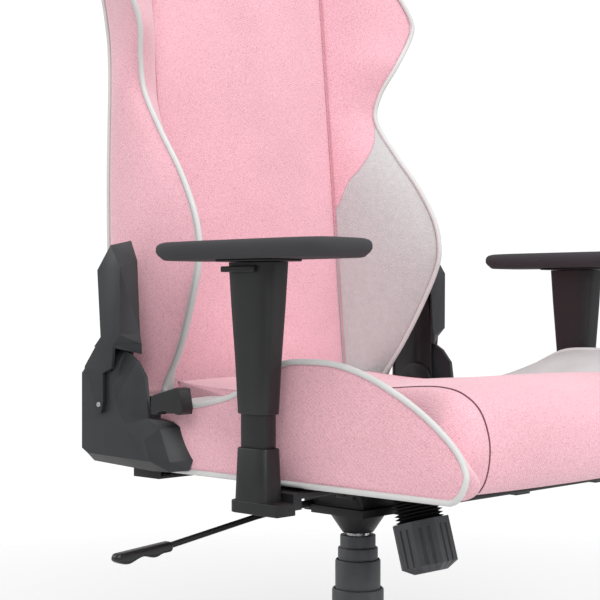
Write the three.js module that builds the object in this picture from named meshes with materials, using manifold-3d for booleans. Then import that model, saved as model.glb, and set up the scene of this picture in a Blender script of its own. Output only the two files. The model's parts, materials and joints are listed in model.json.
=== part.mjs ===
// A racing-style office chair: five-leg base on twin casters, gas lift, tilting seat
// mechanism, bucket seat, reclining winged backrest and adjustable armrests.
// Millimetres, +Z up. The chair faces -Y, +X is the sitter's left, and the origin is
// on the floor under the gas lift.
import * as THREE from 'three';
import { mergeVertices } from 'three/addons/utils/BufferGeometryUtils.js';
import Module from 'manifold-3d';

const wasm = await Module();
wasm.setup();

// ---- driving dimensions ------------------------------------------------------------
const GAP = 0.3; // between pieces that touch
const BORE_GAP = 0.4; // radial play of a shaft in its bore
const LEG_COUNT = 5;

const CASTER = {
  wheelRadius: 30, wheelWidth: 18, webHalf: 3, sideGap: 2, trail: 21,
  axleRadius: 4, stemRadius: 5.5, stemLength: 26, hoodGap: 1.6, hoodWall: 3,
};
const BASE = {
  stemCircle: 311, hubRadius: 47, hubBottom: 62, hubTop: 112,
  legRootWidth: 56, legRootHeight: 36, legTipWidth: 38, legTipHeight: 24,
};
const COLUMN = {
  tubeRadius: 25, tubeWall: 3, bottom: 58, top: 238, pistonRadius: 14, pistonBottom: 96,
};
const COVER = {
  wall: 2.2, lowerRadius: COLUMN.tubeRadius + 6.5, lowerTop: 246,
  middleRadius: COLUMN.tubeRadius + 2.6, middleBottom: 165, middleTop: 281,
  upperRadius: COLUMN.tubeRadius - 0.7, upperBottom: 241, upperTop: 295,
  neckRadius: COLUMN.tubeRadius - 3.4, neckGap: 3.5,
};
const HOUSING = {
  coneBottom: 314, coneRadius: 19, rimRadius: 34, trayBottom: 340, trayTop: 349,
  trayHalf: 53, front: -55, rear: 28, boxHalf: 45, boxInset: 6,
  lowTop: 362, highTop: 379, highRear: -20, blockHalf: 40, blockRear: 52, blockTop: 357,
};
const TILT_PIN = { y: -35, z: 372, radius: 5, half: 66 };
const PLATE = {
  bottom: 387, thick: 5.6, half: 92, front: -122, rear: 100, earInner: 58, earThick: 5,
  earHalf: 13, earDrop: 9,
};
const TENSION = {
  tilt: 16, y: -88, z: 371.5, knobTop: -36, knobHeight: 60, knobRadius: 35,
  cupRadius: 30.6, cupDepth: 12, chamferIn: 14, chamferUp: 8, boltRadius: 6, boltTop: -2, boltBottom: -84,
  bellowsRadius: 29, bellowsRoot: 23, bellowsPitch: 4.6, bellowsEnd: -46, bellowsBore: 14,
  noseHalf: 30, noseRear: -52, noseFront: -114, noseBottom: 374, noseTop: 383,
};
const LEVER = {
  y: 40, z: 348, pivotRadius: 4.5, pivotInner: 20, pivotOuter: 61, rodRadius: 3.5,
  gripStart: 271, gripLength: 76, gripWidth: 15, gripThick: 11, gripZ: 323.5,
};
const SEAT = {
  half: 255, bottom: 405, rear: 118, creaseRear: 172, creaseFront: 226,
  seamFront: 200, widenFrom: 180, widenOver: 140,
  panThick: 5.4, panHalf: 236, panFront: -338, panRear: 108, lipRear: 139, lipBottom: 489.5, lipTop: 93,
  railInner: 62, railWidth: 24, crown: 5,
};
const PIVOT = { y: 128, z: 477, shaftRadius: 6 };
const BACK = {
  bottom: 491, height: 810, lean: 0.0888, panelY: 160, panelHalf: 155, thick: 30,
  shellDepth: 38, shellWall: 6, sideInset: 17, wingTop: 0.762, tube: 16, tubeY: 34,
};
const SLOT = { x: 92, z: 1098, width: 58, height: 36, trim: 5, lip: 3 };
const HINGE = {
  discRadius: 64, wall: 3, inner: 1, outer: 30.5, rimTop: 20, hollowTop: 16.5, upperInner: 7,
  tongueGap: 1, tongueThick: 4, lowerPlate: 6, upperPlate: 10.6, leverPlate: 1.5,
  leverThick: 3.8, plateThick: 4, plateHub: 30, rimStart: 15.2, footRear: 60, footFront: 104,
};
const GRIP = {
  rear: 40, front: -8, bottom: 470, top: 491, frontTop: 500, inner: 19, outer: 35.5, root: 36,
};
const ARM = {
  offset: 32, y: -122, lowerBottom: 391, lowerTop: 444.4, upperBottom: 479, upperTop: 633.5,
  postX: 20, postY: 38, postBottom: 399.5, postTop: 600,
  lowTopX: 25, lowTopY: 43.5, lowBaseX: 29, lowBaseY: 49,
  upBaseX: 25, upBaseY: 43, upTopX: 35, upTopY: 65,
  footBottom: 378, footFront: -42, footRear: 30, footInner: 12,
  bracketThick: 6, bracketFront: -36, bracketRear: 24, bracketInner: 104,
};
const PAD = {
  length: 251, width: 97, forward: 2.5, bottom: 636.5, thick: 19.5, corner: 24, under: 7,
  crown: 4, plateX: 54, plateY: 84,
};
const TRIGGER = { front: -15, rear: 33.5, height: 6, depth: 9, z: 623.5, recess: 4.5 };

const ARM_X = SEAT.half + ARM.offset;
const BACK_HALF = SEAT.half - BACK.sideInset;

// Half outline of the backrest: share of its height, inset from BACK_HALF.
const OUTLINE = [
  [0, 12], [0.06, 2], [0.14, 0], [0.22, 2], [0.332, 8], [0.44, 16], [0.511, 19], [0.56, 16],
  [0.6, 12], [0.64, 12], [0.68, 20], [0.72, 36], [0.75, 48], [0.77, 58], [0.8, 68],
  [0.93, 80], [0.985, 98], [1, 122],
];
// Front edge of a wing: share of the height, inset from BACK_HALF, reach in front.
const WING_EDGE = [
  [0, 43, 28], [0.055, 39, 64], [0.129, 31, 101], [0.185, 25, 123], [0.218, 23, 127],
  [0.259, 22, 121], [0.314, 24, 99], [0.376, 28, 64], [0.436, 31, 36], [0.48, 24, 41],
  [0.531, 8, 62], [0.58, -14, 72], [0.604, -18, 73], [0.628, -13, 72], [0.647, -3, 66],
  [0.678, 16, 54], [0.721, 38, 34], [0.762, 56, 19],
];
// Seat bolster along Y: outer edge height and crease height above the seat bottom.
const BOLSTER = [
  [118, 70, 66], [60, 72, 84], [7, 76, 88], [-53, 90, 90], [-95, 112, 91], [-130, 126, 92],
  [-180, 128, 91], [-210, 124, 90], [-241, 116, 86], [-281, 99, 76], [-300, 89, 68],
  [-320, 76, 56], [-333, 67, 46], [-351, 48, 30], [-362, 26, 18],
];
// Seat centre along Y: height of its side seam above the seat bottom, share of its width.
const SEAT_TOP = [
  [60, 87, 1], [-20, 86, 1], [-90, 91, 1], [-180, 97, 1], [-256, 103, 1], [-290, 103, 1],
  [-320, 97, 1], [-333, 89, 1], [-346, 72, 1], [-350, 56, 1], [-361, 48, 0.7],
];

// ---- materials ---------------------------------------------------------------------
const finish = (color, roughness, metalness = 0) =>
  new THREE.MeshStandardMaterial({ color, roughness, metalness });
const FINISH = {
  fabric: finish(0xe8a9b8, 0.95),
  plastic: finish(0x37393b, 0.5),
  gloss: finish(0x17181a, 0.3),
  steel: finish(0x1f2022, 0.45, 0.8),
  bright: finish(0xb8bcc0, 0.3, 1),
  rubber: finish(0x121212, 0.8),
  tread: finish(0x2a2a2c, 0.7),
};

// ---- solid helpers -----------------------------------------------------------------
function toSolid(geometry) {
  const bare = geometry.clone();
  bare.deleteAttribute('normal');
  bare.deleteAttribute('uv');
  const merged = mergeVertices(bare, 1e-4);
  const vertProperties = new Float32Array(merged.attributes.position.array);
  const triVerts = new Uint32Array(merged.index.array);
  return new wasm.Manifold(new wasm.Mesh({ numProp: 3, vertProperties, triVerts }));
}

function toGeometry(solid) {
  const mesh = solid.getMesh();
  const geometry = new THREE.BufferGeometry();
  geometry.setAttribute('position', new THREE.BufferAttribute(mesh.vertProperties, 3));
  geometry.setIndex(new THREE.BufferAttribute(mesh.triVerts, 1));
  geometry.computeVertexNormals();
  return geometry;
}

function piece(name, solid, material) {
  const mesh = new THREE.Mesh(toGeometry(solid), material);
  mesh.name = name;
  return mesh;
}

function box(x0, x1, y0, y1, z0, z1) {
  const sorted = [[x0, x1], [y0, y1], [z0, z1]].map((pair) => pair.sort((a, b) => a - b));
  const size = sorted.map(([low, high]) => high - low);
  const middle = sorted.map(([low, high]) => (low + high) / 2);
  const geometry = new THREE.BoxGeometry(...size);
  geometry.translate(...middle);
  return toSolid(geometry);
}

// Cylinder along an axis, between two places on it; "at" holds the other coordinates.
function rod(axis, from, to, radius, at, sides = 24) {
  const geometry = new THREE.CylinderGeometry(radius, radius, Math.abs(to - from), sides);
  const middle = new THREE.Vector3(...at);
  middle[axis] = (from + to) / 2;
  if (axis === 'z') geometry.rotateX(Math.PI / 2);
  if (axis === 'x') geometry.rotateZ(Math.PI / 2);
  geometry.translate(middle.x, middle.y, middle.z);
  return toSolid(geometry);
}

// Solid of revolution about Z from closed [radius, z] points.
function turned(points, sides = 32) {
  const profile = points.map(([r, z]) => new THREE.Vector2(r, z));
  const geometry = new THREE.LatheGeometry(profile, sides);
  geometry.rotateX(Math.PI / 2);
  return outward(geometry);
}

// Makes a solid whose faces point out, whichever way the points ran.
function outward(geometry) {
  const solid = toSolid(geometry);
  if (solid.status() === 'NoError' && solid.volume() > 0) return solid;
  const index = geometry.index.array;
  for (let i = 0; i < index.length; i += 3) {
    [index[i], index[i + 1]] = [index[i + 1], index[i]];
  }
  return toSolid(geometry);
}

// Joins sections of the same number of points, each a list of [x, y, z].
function loft(sections) {
  const count = sections[0].length;
  const position = sections.flat(2);
  const index = [];
  for (let s = 0; s < sections.length - 1; s += 1) {
    for (let i = 0; i < count; i += 1) {
      const a = s * count + i;
      const b = s * count + ((i + 1) % count);
      index.push(a, b, b + count, a, b + count, a + count);
    }
  }
  for (const [s, flip] of [[0, true], [sections.length - 1, false]]) {
    const ring = sections[s];
    const flat = ring.map((p) => flattened(ring, p));
    for (const [a, b, c] of THREE.ShapeUtils.triangulateShape(flat, [])) {
      const base = s * count;
      const face = flip ? [base + c, base + b, base + a] : [base + a, base + b, base + c];
      index.push(...face);
    }
  }
  const geometry = new THREE.BufferGeometry();
  geometry.setAttribute('position', new THREE.Float32BufferAttribute(position, 3));
  geometry.setIndex(index);
  return outward(consistent(geometry, sections));
}

// A section's points in its own plane, for closing the end.
function flattened(ring, point) {
  const spread = [0, 1, 2].map((k) => {
    const values = ring.map((p) => p[k]);
    return Math.max(...values) - Math.min(...values);
  });
  const thin = spread.indexOf(Math.min(...spread));
  const [u, v] = [0, 1, 2].filter((k) => k !== thin);
  return new THREE.Vector2(point[u], point[v]);
}

// Turns the two end caps so that they agree with the sides.
function consistent(geometry, sections) {
  const count = sections[0].length;
  const sides = (sections.length - 1) * count * 2;
  const index = Array.from(geometry.index.array);
  const edges = new Set();
  for (let t = 0; t < sides; t += 1) {
    for (let k = 0; k < 3; k += 1) {
      edges.add(`${index[3 * t + k]}>${index[3 * t + ((k + 1) % 3)]}`);
    }
  }
  const clash = [false, false];
  const total = index.length / 3;
  const last = (sections.length - 1) * count;
  for (let t = sides; t < total; t += 1) {
    const end = index[3 * t] >= last ? 1 : 0;
    for (let k = 0; k < 3; k += 1) {
      if (edges.has(`${index[3 * t + k]}>${index[3 * t + ((k + 1) % 3)]}`)) clash[end] = true;
    }
  }
  for (let t = sides; t < total; t += 1) {
    const end = index[3 * t] >= last ? 1 : 0;
    if (clash[end]) [index[3 * t], index[3 * t + 1]] = [index[3 * t + 1], index[3 * t]];
  }
  geometry.setIndex(index);
  return geometry;
}

// Outline in the YZ plane, extruded along X between two places.
function sidePlate(points, x0, x1) {
  const low = Math.min(x0, x1);
  const high = Math.max(x0, x1);
  const rings = [low, high].map((x) => points.map(([y, z]) => [x, y, z]));
  return loft(rings);
}

function roundedRing(halfX, halfY, radius, z, steps = 3) {
  const ring = [];
  const corners = [[1, 1, 0], [-1, 1, 90], [-1, -1, 180], [1, -1, 270]];
  for (const [sx, sy, start] of corners) {
    for (let i = 0; i <= steps; i += 1) {
      const angle = THREE.MathUtils.degToRad(start + (90 * i) / steps);
      ring.push([
        sx * (halfX - radius) + radius * Math.cos(angle),
        sy * (halfY - radius) + radius * Math.sin(angle),
        z,
      ]);
    }
  }
  return ring;
}

function arc(radius, from, to, steps) {
  return Array.from({ length: steps + 1 }, (_, i) => {
    const angle = THREE.MathUtils.degToRad(from + ((to - from) * i) / steps);
    return [PIVOT.y + radius * Math.cos(angle), PIVOT.z + radius * Math.sin(angle)];
  });
}

// Straight-line reading of a table: rows start with the place, column k holds the value.
function reading(table, place, k) {
  const next = table.findIndex((row) => row[0] >= place);
  if (next <= 0) return table[next === 0 ? 0 : table.length - 1][k];
  const [a, b] = [table[next - 1], table[next]];
  return a[k] + ((b[k] - a[k]) * (place - a[0])) / (b[0] - a[0]);
}

const joined = (first, ...rest) => rest.reduce((sum, part) => sum.add(part), first);
const cutBy = (first, ...rest) => rest.reduce((left, part) => left.subtract(part), first);

// ---- base and casters --------------------------------------------------------------
const CASTER_TOP = 2 * CASTER.wheelRadius + CASTER.hoodGap + CASTER.hoodWall + 4;

function baseStar() {
  const hub = turned([
    [0, BASE.hubBottom], [BASE.hubRadius - 6, BASE.hubBottom],
    [BASE.hubRadius, BASE.hubBottom + 8], [BASE.hubRadius, BASE.hubTop - 14],
    [BASE.hubRadius - 9, BASE.hubTop], [0, BASE.hubTop],
  ]);
  let star = hub;
  const tipZ = CASTER_TOP + BASE.legTipHeight / 2;
  const rootZ = (BASE.hubBottom + BASE.hubTop) / 2;
  for (let k = 0; k < LEG_COUNT; k += 1) {
    const leg = loft([
      legRing(20, BASE.legRootWidth, BASE.legRootHeight, rootZ),
      legRing(BASE.hubRadius + 30, BASE.legRootWidth - 8, BASE.legRootHeight - 4, rootZ - 1),
      legRing(BASE.stemCircle - 24, BASE.legTipWidth - 2, BASE.legTipHeight, tipZ),
      legRing(BASE.stemCircle + 16, BASE.legTipWidth, BASE.legTipHeight, tipZ),
    ]);
    const socket = rod(
      'z', CASTER_TOP - 1, CASTER_TOP + CASTER.stemLength - 6,
      CASTER.stemRadius + BORE_GAP, [BASE.stemCircle, 0, 0], 16,
    );
    star = star.add(cutBy(leg, socket).rotate([0, 0, legAngle(k)]));
  }
  const bore = rod(
    'z', BASE.hubBottom - 1, BASE.hubTop + 1, COLUMN.tubeRadius + GAP, [0, 0, 0], 40,
  );
  return piece('base_star', cutBy(star, bore), FINISH.plastic);
}

function legRing(x, width, height, z) {
  const ring = roundedRing(width / 2, height / 2, height / 3, 0, 2);
  return ring.map(([across, up]) => [x, across, z + up]);
}

const legAngle = (k) => 90 + (360 / LEG_COUNT) * k;

function caster(k) {
  const group = new THREE.Group();
  const angle = THREE.MathUtils.degToRad(legAngle(k));
  group.rotation.z = angle;
  group.position.set(BASE.stemCircle * Math.cos(angle), BASE.stemCircle * Math.sin(angle), 0);
  group.add(casterHood(k), casterWheels(k));
  return group;
}

function casterHood(k) {
  const { wheelRadius: r, webHalf, sideGap, wheelWidth, trail } = CASTER;
  const half = webHalf + sideGap + wheelWidth;
  const inner = r + CASTER.hoodGap;
  const outer = inner + CASTER.hoodWall;
  const at = [trail, 0, r];
  const arch = cutBy(
    rod('y', -half, half, outer, at), rod('y', -half - 1, half + 1, inner, at),
    box(trail - 50, trail + 50, -half - 1, half + 1, -10, r + 8),
  );
  const web = cutBy(
    rod('y', -webHalf, webHalf, inner + 1, at),
    box(trail - 50, trail + 50, -50, 50, -10, r - 10),
    rod('y', -webHalf - 1, webHalf + 1, CASTER.axleRadius + BORE_GAP, at, 16),
  );
  const boss = cutBy(
    rod('z', r + 12, CASTER_TOP - 1, 11, [0, 0, 0], 20),
    rod('y', -20, -webHalf, inner, at), rod('y', webHalf, 20, inner, at),
  );
  const stem = rod(
    'z', CASTER_TOP - 2, CASTER_TOP + CASTER.stemLength - 8, CASTER.stemRadius, [0, 0, 0], 16,
  );
  return piece(`caster_hood_${k + 1}`, joined(arch, web, boss, stem), FINISH.plastic);
}

function casterWheels(k) {
  const { wheelRadius: r, webHalf, sideGap, wheelWidth, trail, axleRadius } = CASTER;
  const inner = webHalf + sideGap;
  const wheel = turned([
    [0, inner], [r - 3, inner], [r, inner + 3], [r, inner + wheelWidth - 5],
    [r - 4, inner + wheelWidth], [0, inner + wheelWidth],
  ], 24).rotate([-90, 0, 0]);
  const other = wheel.mirror([0, 1, 0]);
  const axle = rod('y', -inner - 2, inner + 2, axleRadius, [0, 0, 0], 16);
  const set = joined(wheel, other, axle).translate([trail, 0, r]);
  return piece(`caster_wheels_${k + 1}`, set, FINISH.tread);
}

// ---- gas lift and its covers -------------------------------------------------------
function sleeve(outer, wall, bottom, top) {
  return turned([
    [outer - wall, bottom], [outer, bottom], [outer, top - 2], [outer - 1, top],
    [outer - wall, top], [outer - wall, bottom],
  ]);
}

function gasLift() {
  const tube = turned([
    [0, COLUMN.bottom], [COLUMN.tubeRadius, COLUMN.bottom], [COLUMN.tubeRadius, COLUMN.top],
    [COLUMN.tubeRadius - COLUMN.tubeWall, COLUMN.top],
    [COLUMN.tubeRadius - COLUMN.tubeWall, COLUMN.bottom + 4], [0, COLUMN.bottom + 4],
  ]);
  const pistonTop = HOUSING.coneBottom + 20;
  const piston = rod('z', COLUMN.pistonBottom, pistonTop, COLUMN.pistonRadius, [0, 0, 0]);
  const neckTop = HOUSING.coneBottom - COVER.neckGap;
  const upper = turned([
    [COVER.upperRadius - COVER.wall, COVER.upperBottom], [COVER.upperRadius, COVER.upperBottom],
    [COVER.upperRadius, COVER.upperTop], [COVER.neckRadius, COVER.upperTop + 1],
    [COVER.neckRadius, neckTop], [COLUMN.pistonRadius + 1, neckTop],
    [COLUMN.pistonRadius + 1, neckTop - 6], [COVER.upperRadius - COVER.wall, COVER.upperTop - 6],
    [COVER.upperRadius - COVER.wall, COVER.upperBottom],
  ]);
  const coverBottom = BASE.hubTop + GAP;
  return [
    piece('column_tube', tube, FINISH.steel),
    piece('lift_piston', piston, FINISH.bright),
    piece('cover_lower', sleeve(COVER.lowerRadius, 2.6, coverBottom, COVER.lowerTop), FINISH.plastic),
    piece(
      'cover_middle',
      sleeve(COVER.middleRadius, COVER.wall, COVER.middleBottom, COVER.middleTop), FINISH.plastic,
    ),
    piece('cover_upper', upper, FINISH.plastic),
  ];
}

// ---- seat mechanism ----------------------------------------------------------------
function mechanismHousing() {
  const h = HOUSING;
  const cone = turned([
    [0, h.coneBottom], [h.coneRadius, h.coneBottom], [h.rimRadius, h.trayBottom - 4],
    [h.rimRadius, h.trayBottom + 2], [0, h.trayBottom + 2],
  ]);
  const tray = box(-h.trayHalf, h.trayHalf, h.front, h.rear, h.trayBottom, h.trayTop);
  const low = box(
    -h.boxHalf, h.boxHalf, h.front + h.boxInset, h.rear - h.boxInset, h.trayBottom, h.lowTop,
  );
  const high = box(-h.boxHalf, h.boxHalf, h.front + h.boxInset, h.highRear, h.lowTop - 1, h.highTop);
  const block = box(-h.blockHalf, h.blockHalf, h.rear - 8, h.blockRear, h.trayBottom, h.blockTop);
  const nose = box(
    -TENSION.noseHalf, TENSION.noseHalf, TENSION.noseFront, TENSION.noseRear + 6,
    TENSION.noseBottom, TENSION.noseTop,
  );
  const web = box(
    -TENSION.noseHalf, TENSION.noseHalf, h.front + h.boxInset, h.front + h.boxInset + 8,
    h.highTop - 2, TENSION.noseTop,
  );
  const seatOfSpring = onTensionAxis(rod('z', GAP, 4, TENSION.bellowsRadius, [0, 0, 0], 32));
  const boltHole = onTensionAxis(
    rod('z', -20, 30, TENSION.boltRadius + BORE_GAP, [0, 0, 0], 20),
  );
  const underNose = onTensionAxis(rod('z', -60, GAP, TENSION.bellowsRadius + 1, [0, 0, 0], 32));
  const pinHole = rod(
    'x', -80, 80, TILT_PIN.radius + BORE_GAP, [0, TILT_PIN.y, TILT_PIN.z], 20,
  );
  const leverHole = rod(
    'x', -LEVER.pivotInner + 4, -h.blockHalf - 2, LEVER.pivotRadius + BORE_GAP,
    [0, LEVER.y, LEVER.z], 16,
  );
  const pistonHole = rod(
    'z', h.coneBottom - 1, h.coneBottom + 20 + GAP, COLUMN.pistonRadius + GAP, [0, 0, 0], 24,
  );
  const solid = cutBy(
    joined(cone, tray, low, high, block, nose, web, seatOfSpring),
    underNose, boltHole, pinHole, leverHole, pistonHole,
  );
  return piece('mechanism_housing', solid, FINISH.steel);
}

function onTensionAxis(solid) {
  return solid.rotate([-TENSION.tilt, 0, 0]).translate([0, TENSION.y, TENSION.z]);
}

function mechanismPlate() {
  const p = PLATE;
  let solid = box(-p.half, p.half, p.front, p.rear, p.bottom, p.bottom + p.thick);
  for (const side of [-1, 1]) {
    const ear = box(
      side * p.earInner, side * (p.earInner + p.earThick), TILT_PIN.y - p.earHalf,
      TILT_PIN.y + p.earHalf, TILT_PIN.z - p.earDrop, p.bottom + 1,
    );
    solid = solid.add(ear);
  }
  const hole = rod('x', -80, 80, TILT_PIN.radius + BORE_GAP, [0, TILT_PIN.y, TILT_PIN.z], 20);
  return piece('mechanism_plate', cutBy(solid, hole), FINISH.steel);
}

function tiltPin() {
  const { y, z, radius, half } = TILT_PIN;
  return piece('tilt_pin', rod('x', -half, half, radius, [0, y, z]), FINISH.bright);
}

// Knob, bellows and bolt are built around their own axis, hanging down from the nose.
function tensionGroup() {
  const t = TENSION;
  const group = new THREE.Group();
  group.position.set(0, t.y, t.z);
  group.rotation.x = THREE.MathUtils.degToRad(-t.tilt);
  const bottom = t.knobTop - t.knobHeight;
  const body = loft([
    octagon(t.knobRadius - t.chamferIn, bottom), octagon(t.knobRadius, bottom + t.chamferUp),
    octagon(t.knobRadius, t.knobTop),
  ]);
  const cup = rod('z', t.knobTop - t.cupDepth, t.knobTop + 1, t.cupRadius, [0, 0, 0], 32);
  const bore = rod('z', t.boltBottom - 4, t.knobTop, t.boltRadius + BORE_GAP, [0, 0, 0], 20);
  const ridges = Math.round(-t.bellowsEnd / t.bellowsPitch);
  const outline = [];
  for (let i = 0; i < ridges; i += 1) {
    const top = -i * t.bellowsPitch;
    outline.push([t.bellowsRoot, top], [t.bellowsRadius, top - t.bellowsPitch / 2]);
  }
  outline.push([t.bellowsRoot, t.bellowsEnd], [t.bellowsBore, t.bellowsEnd], [t.bellowsBore, 0]);
  outline.push(outline[0]);
  group.add(
    piece('tension_knob', cutBy(body, cup, bore), FINISH.plastic),
    piece('tension_bellows', turned(outline, 20), FINISH.rubber),
    piece(
      'tension_bolt', rod('z', t.boltBottom, t.boltTop, t.boltRadius, [0, 0, 0], 20), FINISH.bright,
    ),
  );
  return group;
}

function octagon(radius, z) {
  return Array.from({ length: 8 }, (_, i) => {
    const angle = THREE.MathUtils.degToRad(22.5 + 45 * i);
    return [radius * Math.cos(angle), radius * Math.sin(angle), z];
  });
}

function heightLever() {
  const l = LEVER;
  const start = new THREE.Vector3(-l.pivotOuter - GAP, l.y, l.z);
  const end = new THREE.Vector3(-l.gripStart + 4, l.y - 3, l.gripZ + 1);
  const path = new THREE.CatmullRomCurve3([
    start, new THREE.Vector3(-132, l.y - 1, l.z - 6), new THREE.Vector3(-208, l.y - 2, l.z - 16), end,
  ]);
  const section = new THREE.Shape();
  section.absarc(0, 0, l.rodRadius, 0, 2 * Math.PI);
  const geometry = new THREE.ExtrudeGeometry(section, {
    extrudePath: path, steps: 14, curveSegments: 5, bevelEnabled: false,
  });
  const grip = box(
    -l.gripStart, -l.gripStart - l.gripLength, l.y - 3 - l.gripWidth / 2,
    l.y - 3 + l.gripWidth / 2, l.gripZ - l.gripThick / 2, l.gripZ + l.gripThick / 2,
  );
  const rodSolid = outward(mergeVertices(stripped(geometry), 1e-4));
  const hole = box(
    -l.gripStart + 10, -l.gripStart - 0.1, l.y - 3 - 4.4, l.y - 3 + 4.4, l.gripZ - 4, l.gripZ + 6,
  );
  return [
    piece(
      'lever_pivot',
      rod('x', -l.pivotInner, -l.pivotOuter, l.pivotRadius, [0, l.y, l.z], 16), FINISH.steel,
    ),
    piece('height_lever', cutBy(rodSolid, box(-400, -l.gripStart + GAP, -100, 100, 0, 400)), FINISH.steel),
    piece('lever_grip', cutBy(grip, hole), FINISH.gloss),
  ];
}

function stripped(geometry) {
  geometry.deleteAttribute('normal');
  geometry.deleteAttribute('uv');
  return geometry;
}

// ---- seat --------------------------------------------------------------------------
const frontShare = (y) =>
  THREE.MathUtils.clamp((-SEAT.widenFrom - y) / SEAT.widenOver, 0, 1);
const creaseHalf = (y) =>
  SEAT.creaseRear + (SEAT.creaseFront - SEAT.creaseRear) * frontShare(y);
const seamHalf = (y) => SEAT.creaseRear + (SEAT.seamFront - SEAT.creaseRear) * frontShare(y);

function seatPan() {
  const top = SEAT.bottom - GAP;
  const bottom = top - SEAT.panThick;
  let solid = box(-SEAT.panHalf, SEAT.panHalf, SEAT.panFront, SEAT.panRear, bottom, top);
  for (const side of [-1, 1]) {
    const rail = box(
      side * SEAT.railInner, side * (SEAT.railInner + SEAT.railWidth), SEAT.panFront + 40,
      SEAT.panRear - 4, PLATE.bottom + PLATE.thick + GAP, bottom + 1,
    );
    solid = solid.add(rail);
  }
  return piece('seat_pan', solid, FINISH.steel);
}

function seatCushion() {
  const rows = [[SEAT.lipRear, SEAT.lipTop, 1], ...SEAT_TOP];
  const rings = rows.map(([y, height, share]) => {
    const half = (creaseHalf(y) - GAP) * share;
    const seam = (seamHalf(y) - 2) * share;
    const top = SEAT.bottom + height;
    const side = top - (creaseHalf(y) - seamHalf(y)) - 2;
    return [
      [-half, y, SEAT.bottom], [half, y, SEAT.bottom], [half, y, side], [seam, y, top],
      [seam * 0.6, y, top + SEAT.crown], [-seam * 0.6, y, top + SEAT.crown], [-seam, y, top],
      [-half, y, side],
    ];
  });
  const underLip = box(-400, 400, SEAT.rear - 2, SEAT.lipRear + 1, 0, SEAT.lipBottom);
  return piece('seat_cushion', cutBy(loft(rings), underLip), FINISH.fabric);
}

function seatBolster(side) {
  const rings = BOLSTER.map(([y, outer, crease]) => {
    const inner = creaseHalf(y) + GAP;
    const top = SEAT.bottom + outer;
    return [
      [side * inner, y, SEAT.bottom], [side * SEAT.half, y, SEAT.bottom],
      [side * SEAT.half, y, top - 5], [side * (SEAT.half - 6), y, top],
      [side * inner, y, SEAT.bottom + crease],
    ];
  });
  return piece(`seat_bolster_${sideName(side)}`, loft(rings), FINISH.fabric);
}

const sideName = (side) => (side < 0 ? 'right' : 'left');

// ---- backrest ----------------------------------------------------------------------
const backZ = (share) => BACK.bottom + BACK.height * share;
const panelY = (z) => BACK.panelY + BACK.lean * (z - BACK.bottom);
const outlineHalf = (share) => BACK_HALF - reading(OUTLINE, share, 1);

// A box that follows the lean of the backrest; y is measured from the front panel.
function leaningBox(x0, x1, y0, y1, z0, z1) {
  return loft([z0, z1].map((z) => [
    [x0, panelY(z) + y0, z], [x1, panelY(z) + y0, z],
    [x1, panelY(z) + y1, z], [x0, panelY(z) + y1, z],
  ]));
}

function backCushion() {
  const top = BACK.wingTop + 2 / BACK.height;
  const shares = [0, top, top + 0.001, 0.8, 0.86, 0.93, 0.97, 0.99];
  const rings = shares.map((share) => {
    const z = backZ(share);
    const half = share <= top ? BACK.panelHalf - GAP : outlineHalf(share) - 3;
    const front = panelY(z) - (share <= top ? 0 : 8);
    const rear = panelY(z) + BACK.thick;
    return [
      [-half, rear, z], [-half, front + 4, z], [-half + 12, front - 2, z],
      [half - 12, front - 2, z], [half, front + 4, z], [half, rear, z],
    ];
  });
  const slots = [-1, 1].map((side) => slotHole(side, SLOT.trim + GAP));
  return piece('back_cushion', cutBy(loft(rings), ...slots), FINISH.fabric);
}

// A belt slot's hole, grown by a margin on every side.
function slotHole(side, margin) {
  const middle = side * SLOT.x;
  const halfX = SLOT.width / 2 + margin;
  const halfZ = SLOT.height / 2 + margin;
  return leaningBox(middle - halfX, middle + halfX, -60, 120, SLOT.z - halfZ, SLOT.z + halfZ);
}

function beltTrim(side) {
  const middle = side * SLOT.x;
  const halfX = SLOT.width / 2 + SLOT.trim;
  const halfZ = SLOT.height / 2 + SLOT.trim;
  const rear = BACK.thick + BACK.shellDepth;
  const sleeveBody = leaningBox(
    middle - halfX, middle + halfX, -SLOT.lip - 2, rear, SLOT.z - halfZ, SLOT.z + halfZ,
  );
  return piece(`belt_trim_${sideName(side)}`, cutBy(sleeveBody, slotHole(side, 0)), FINISH.plastic);
}

function backWing(side) {
  const rings = WING_EDGE.map(([share, inset, reach]) => {
    const z = backZ(share);
    const y = panelY(z);
    const edge = BACK_HALF - inset;
    const outer = outlineHalf(share);
    const crease = BACK.panelHalf;
    const bulge = crease + (edge - crease) * 0.6;
    return [
      [crease, y], [bulge, y - reach * 0.74], [edge - 5, y - reach + 1], [edge, y - reach],
      [edge + 3, y - reach + 6], [outer - 1, y - 30 * Math.min(1, reach / 60)], [outer, y - 4],
      [outer - 7, y + 14], [outer - 21, y + BACK.thick], [crease, y + BACK.thick],
    ].map(([x, place]) => [side * x, place, z]);
  });
  const solid = cutBy(loft(rings), ...frameEars(side, 0.6));
  return piece(`back_wing_${sideName(side)}`, solid, FINISH.fabric);
}

// Two boxes that carry the frame from behind the cushion out to the hinge plate.
function frameEars(side, margin) {
  const out = SEAT.half + HINGE.upperPlate - GAP;
  const [z0, z1] = [541 - margin, 569 + margin];
  const [low, high] = [BACK_HALF - 64 - margin, BACK_HALF - 56 + margin];
  const across = side > 0 ? [low, out] : [-out, -low];
  const through = side > 0 ? [low, high] : [-high, -low];
  return [
    leaningBox(...across, -22 - margin, -14 + margin, z0, z1),
    leaningBox(...through, -22 - margin, BACK.tubeY + 8, z0, z1),
  ];
}

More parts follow.
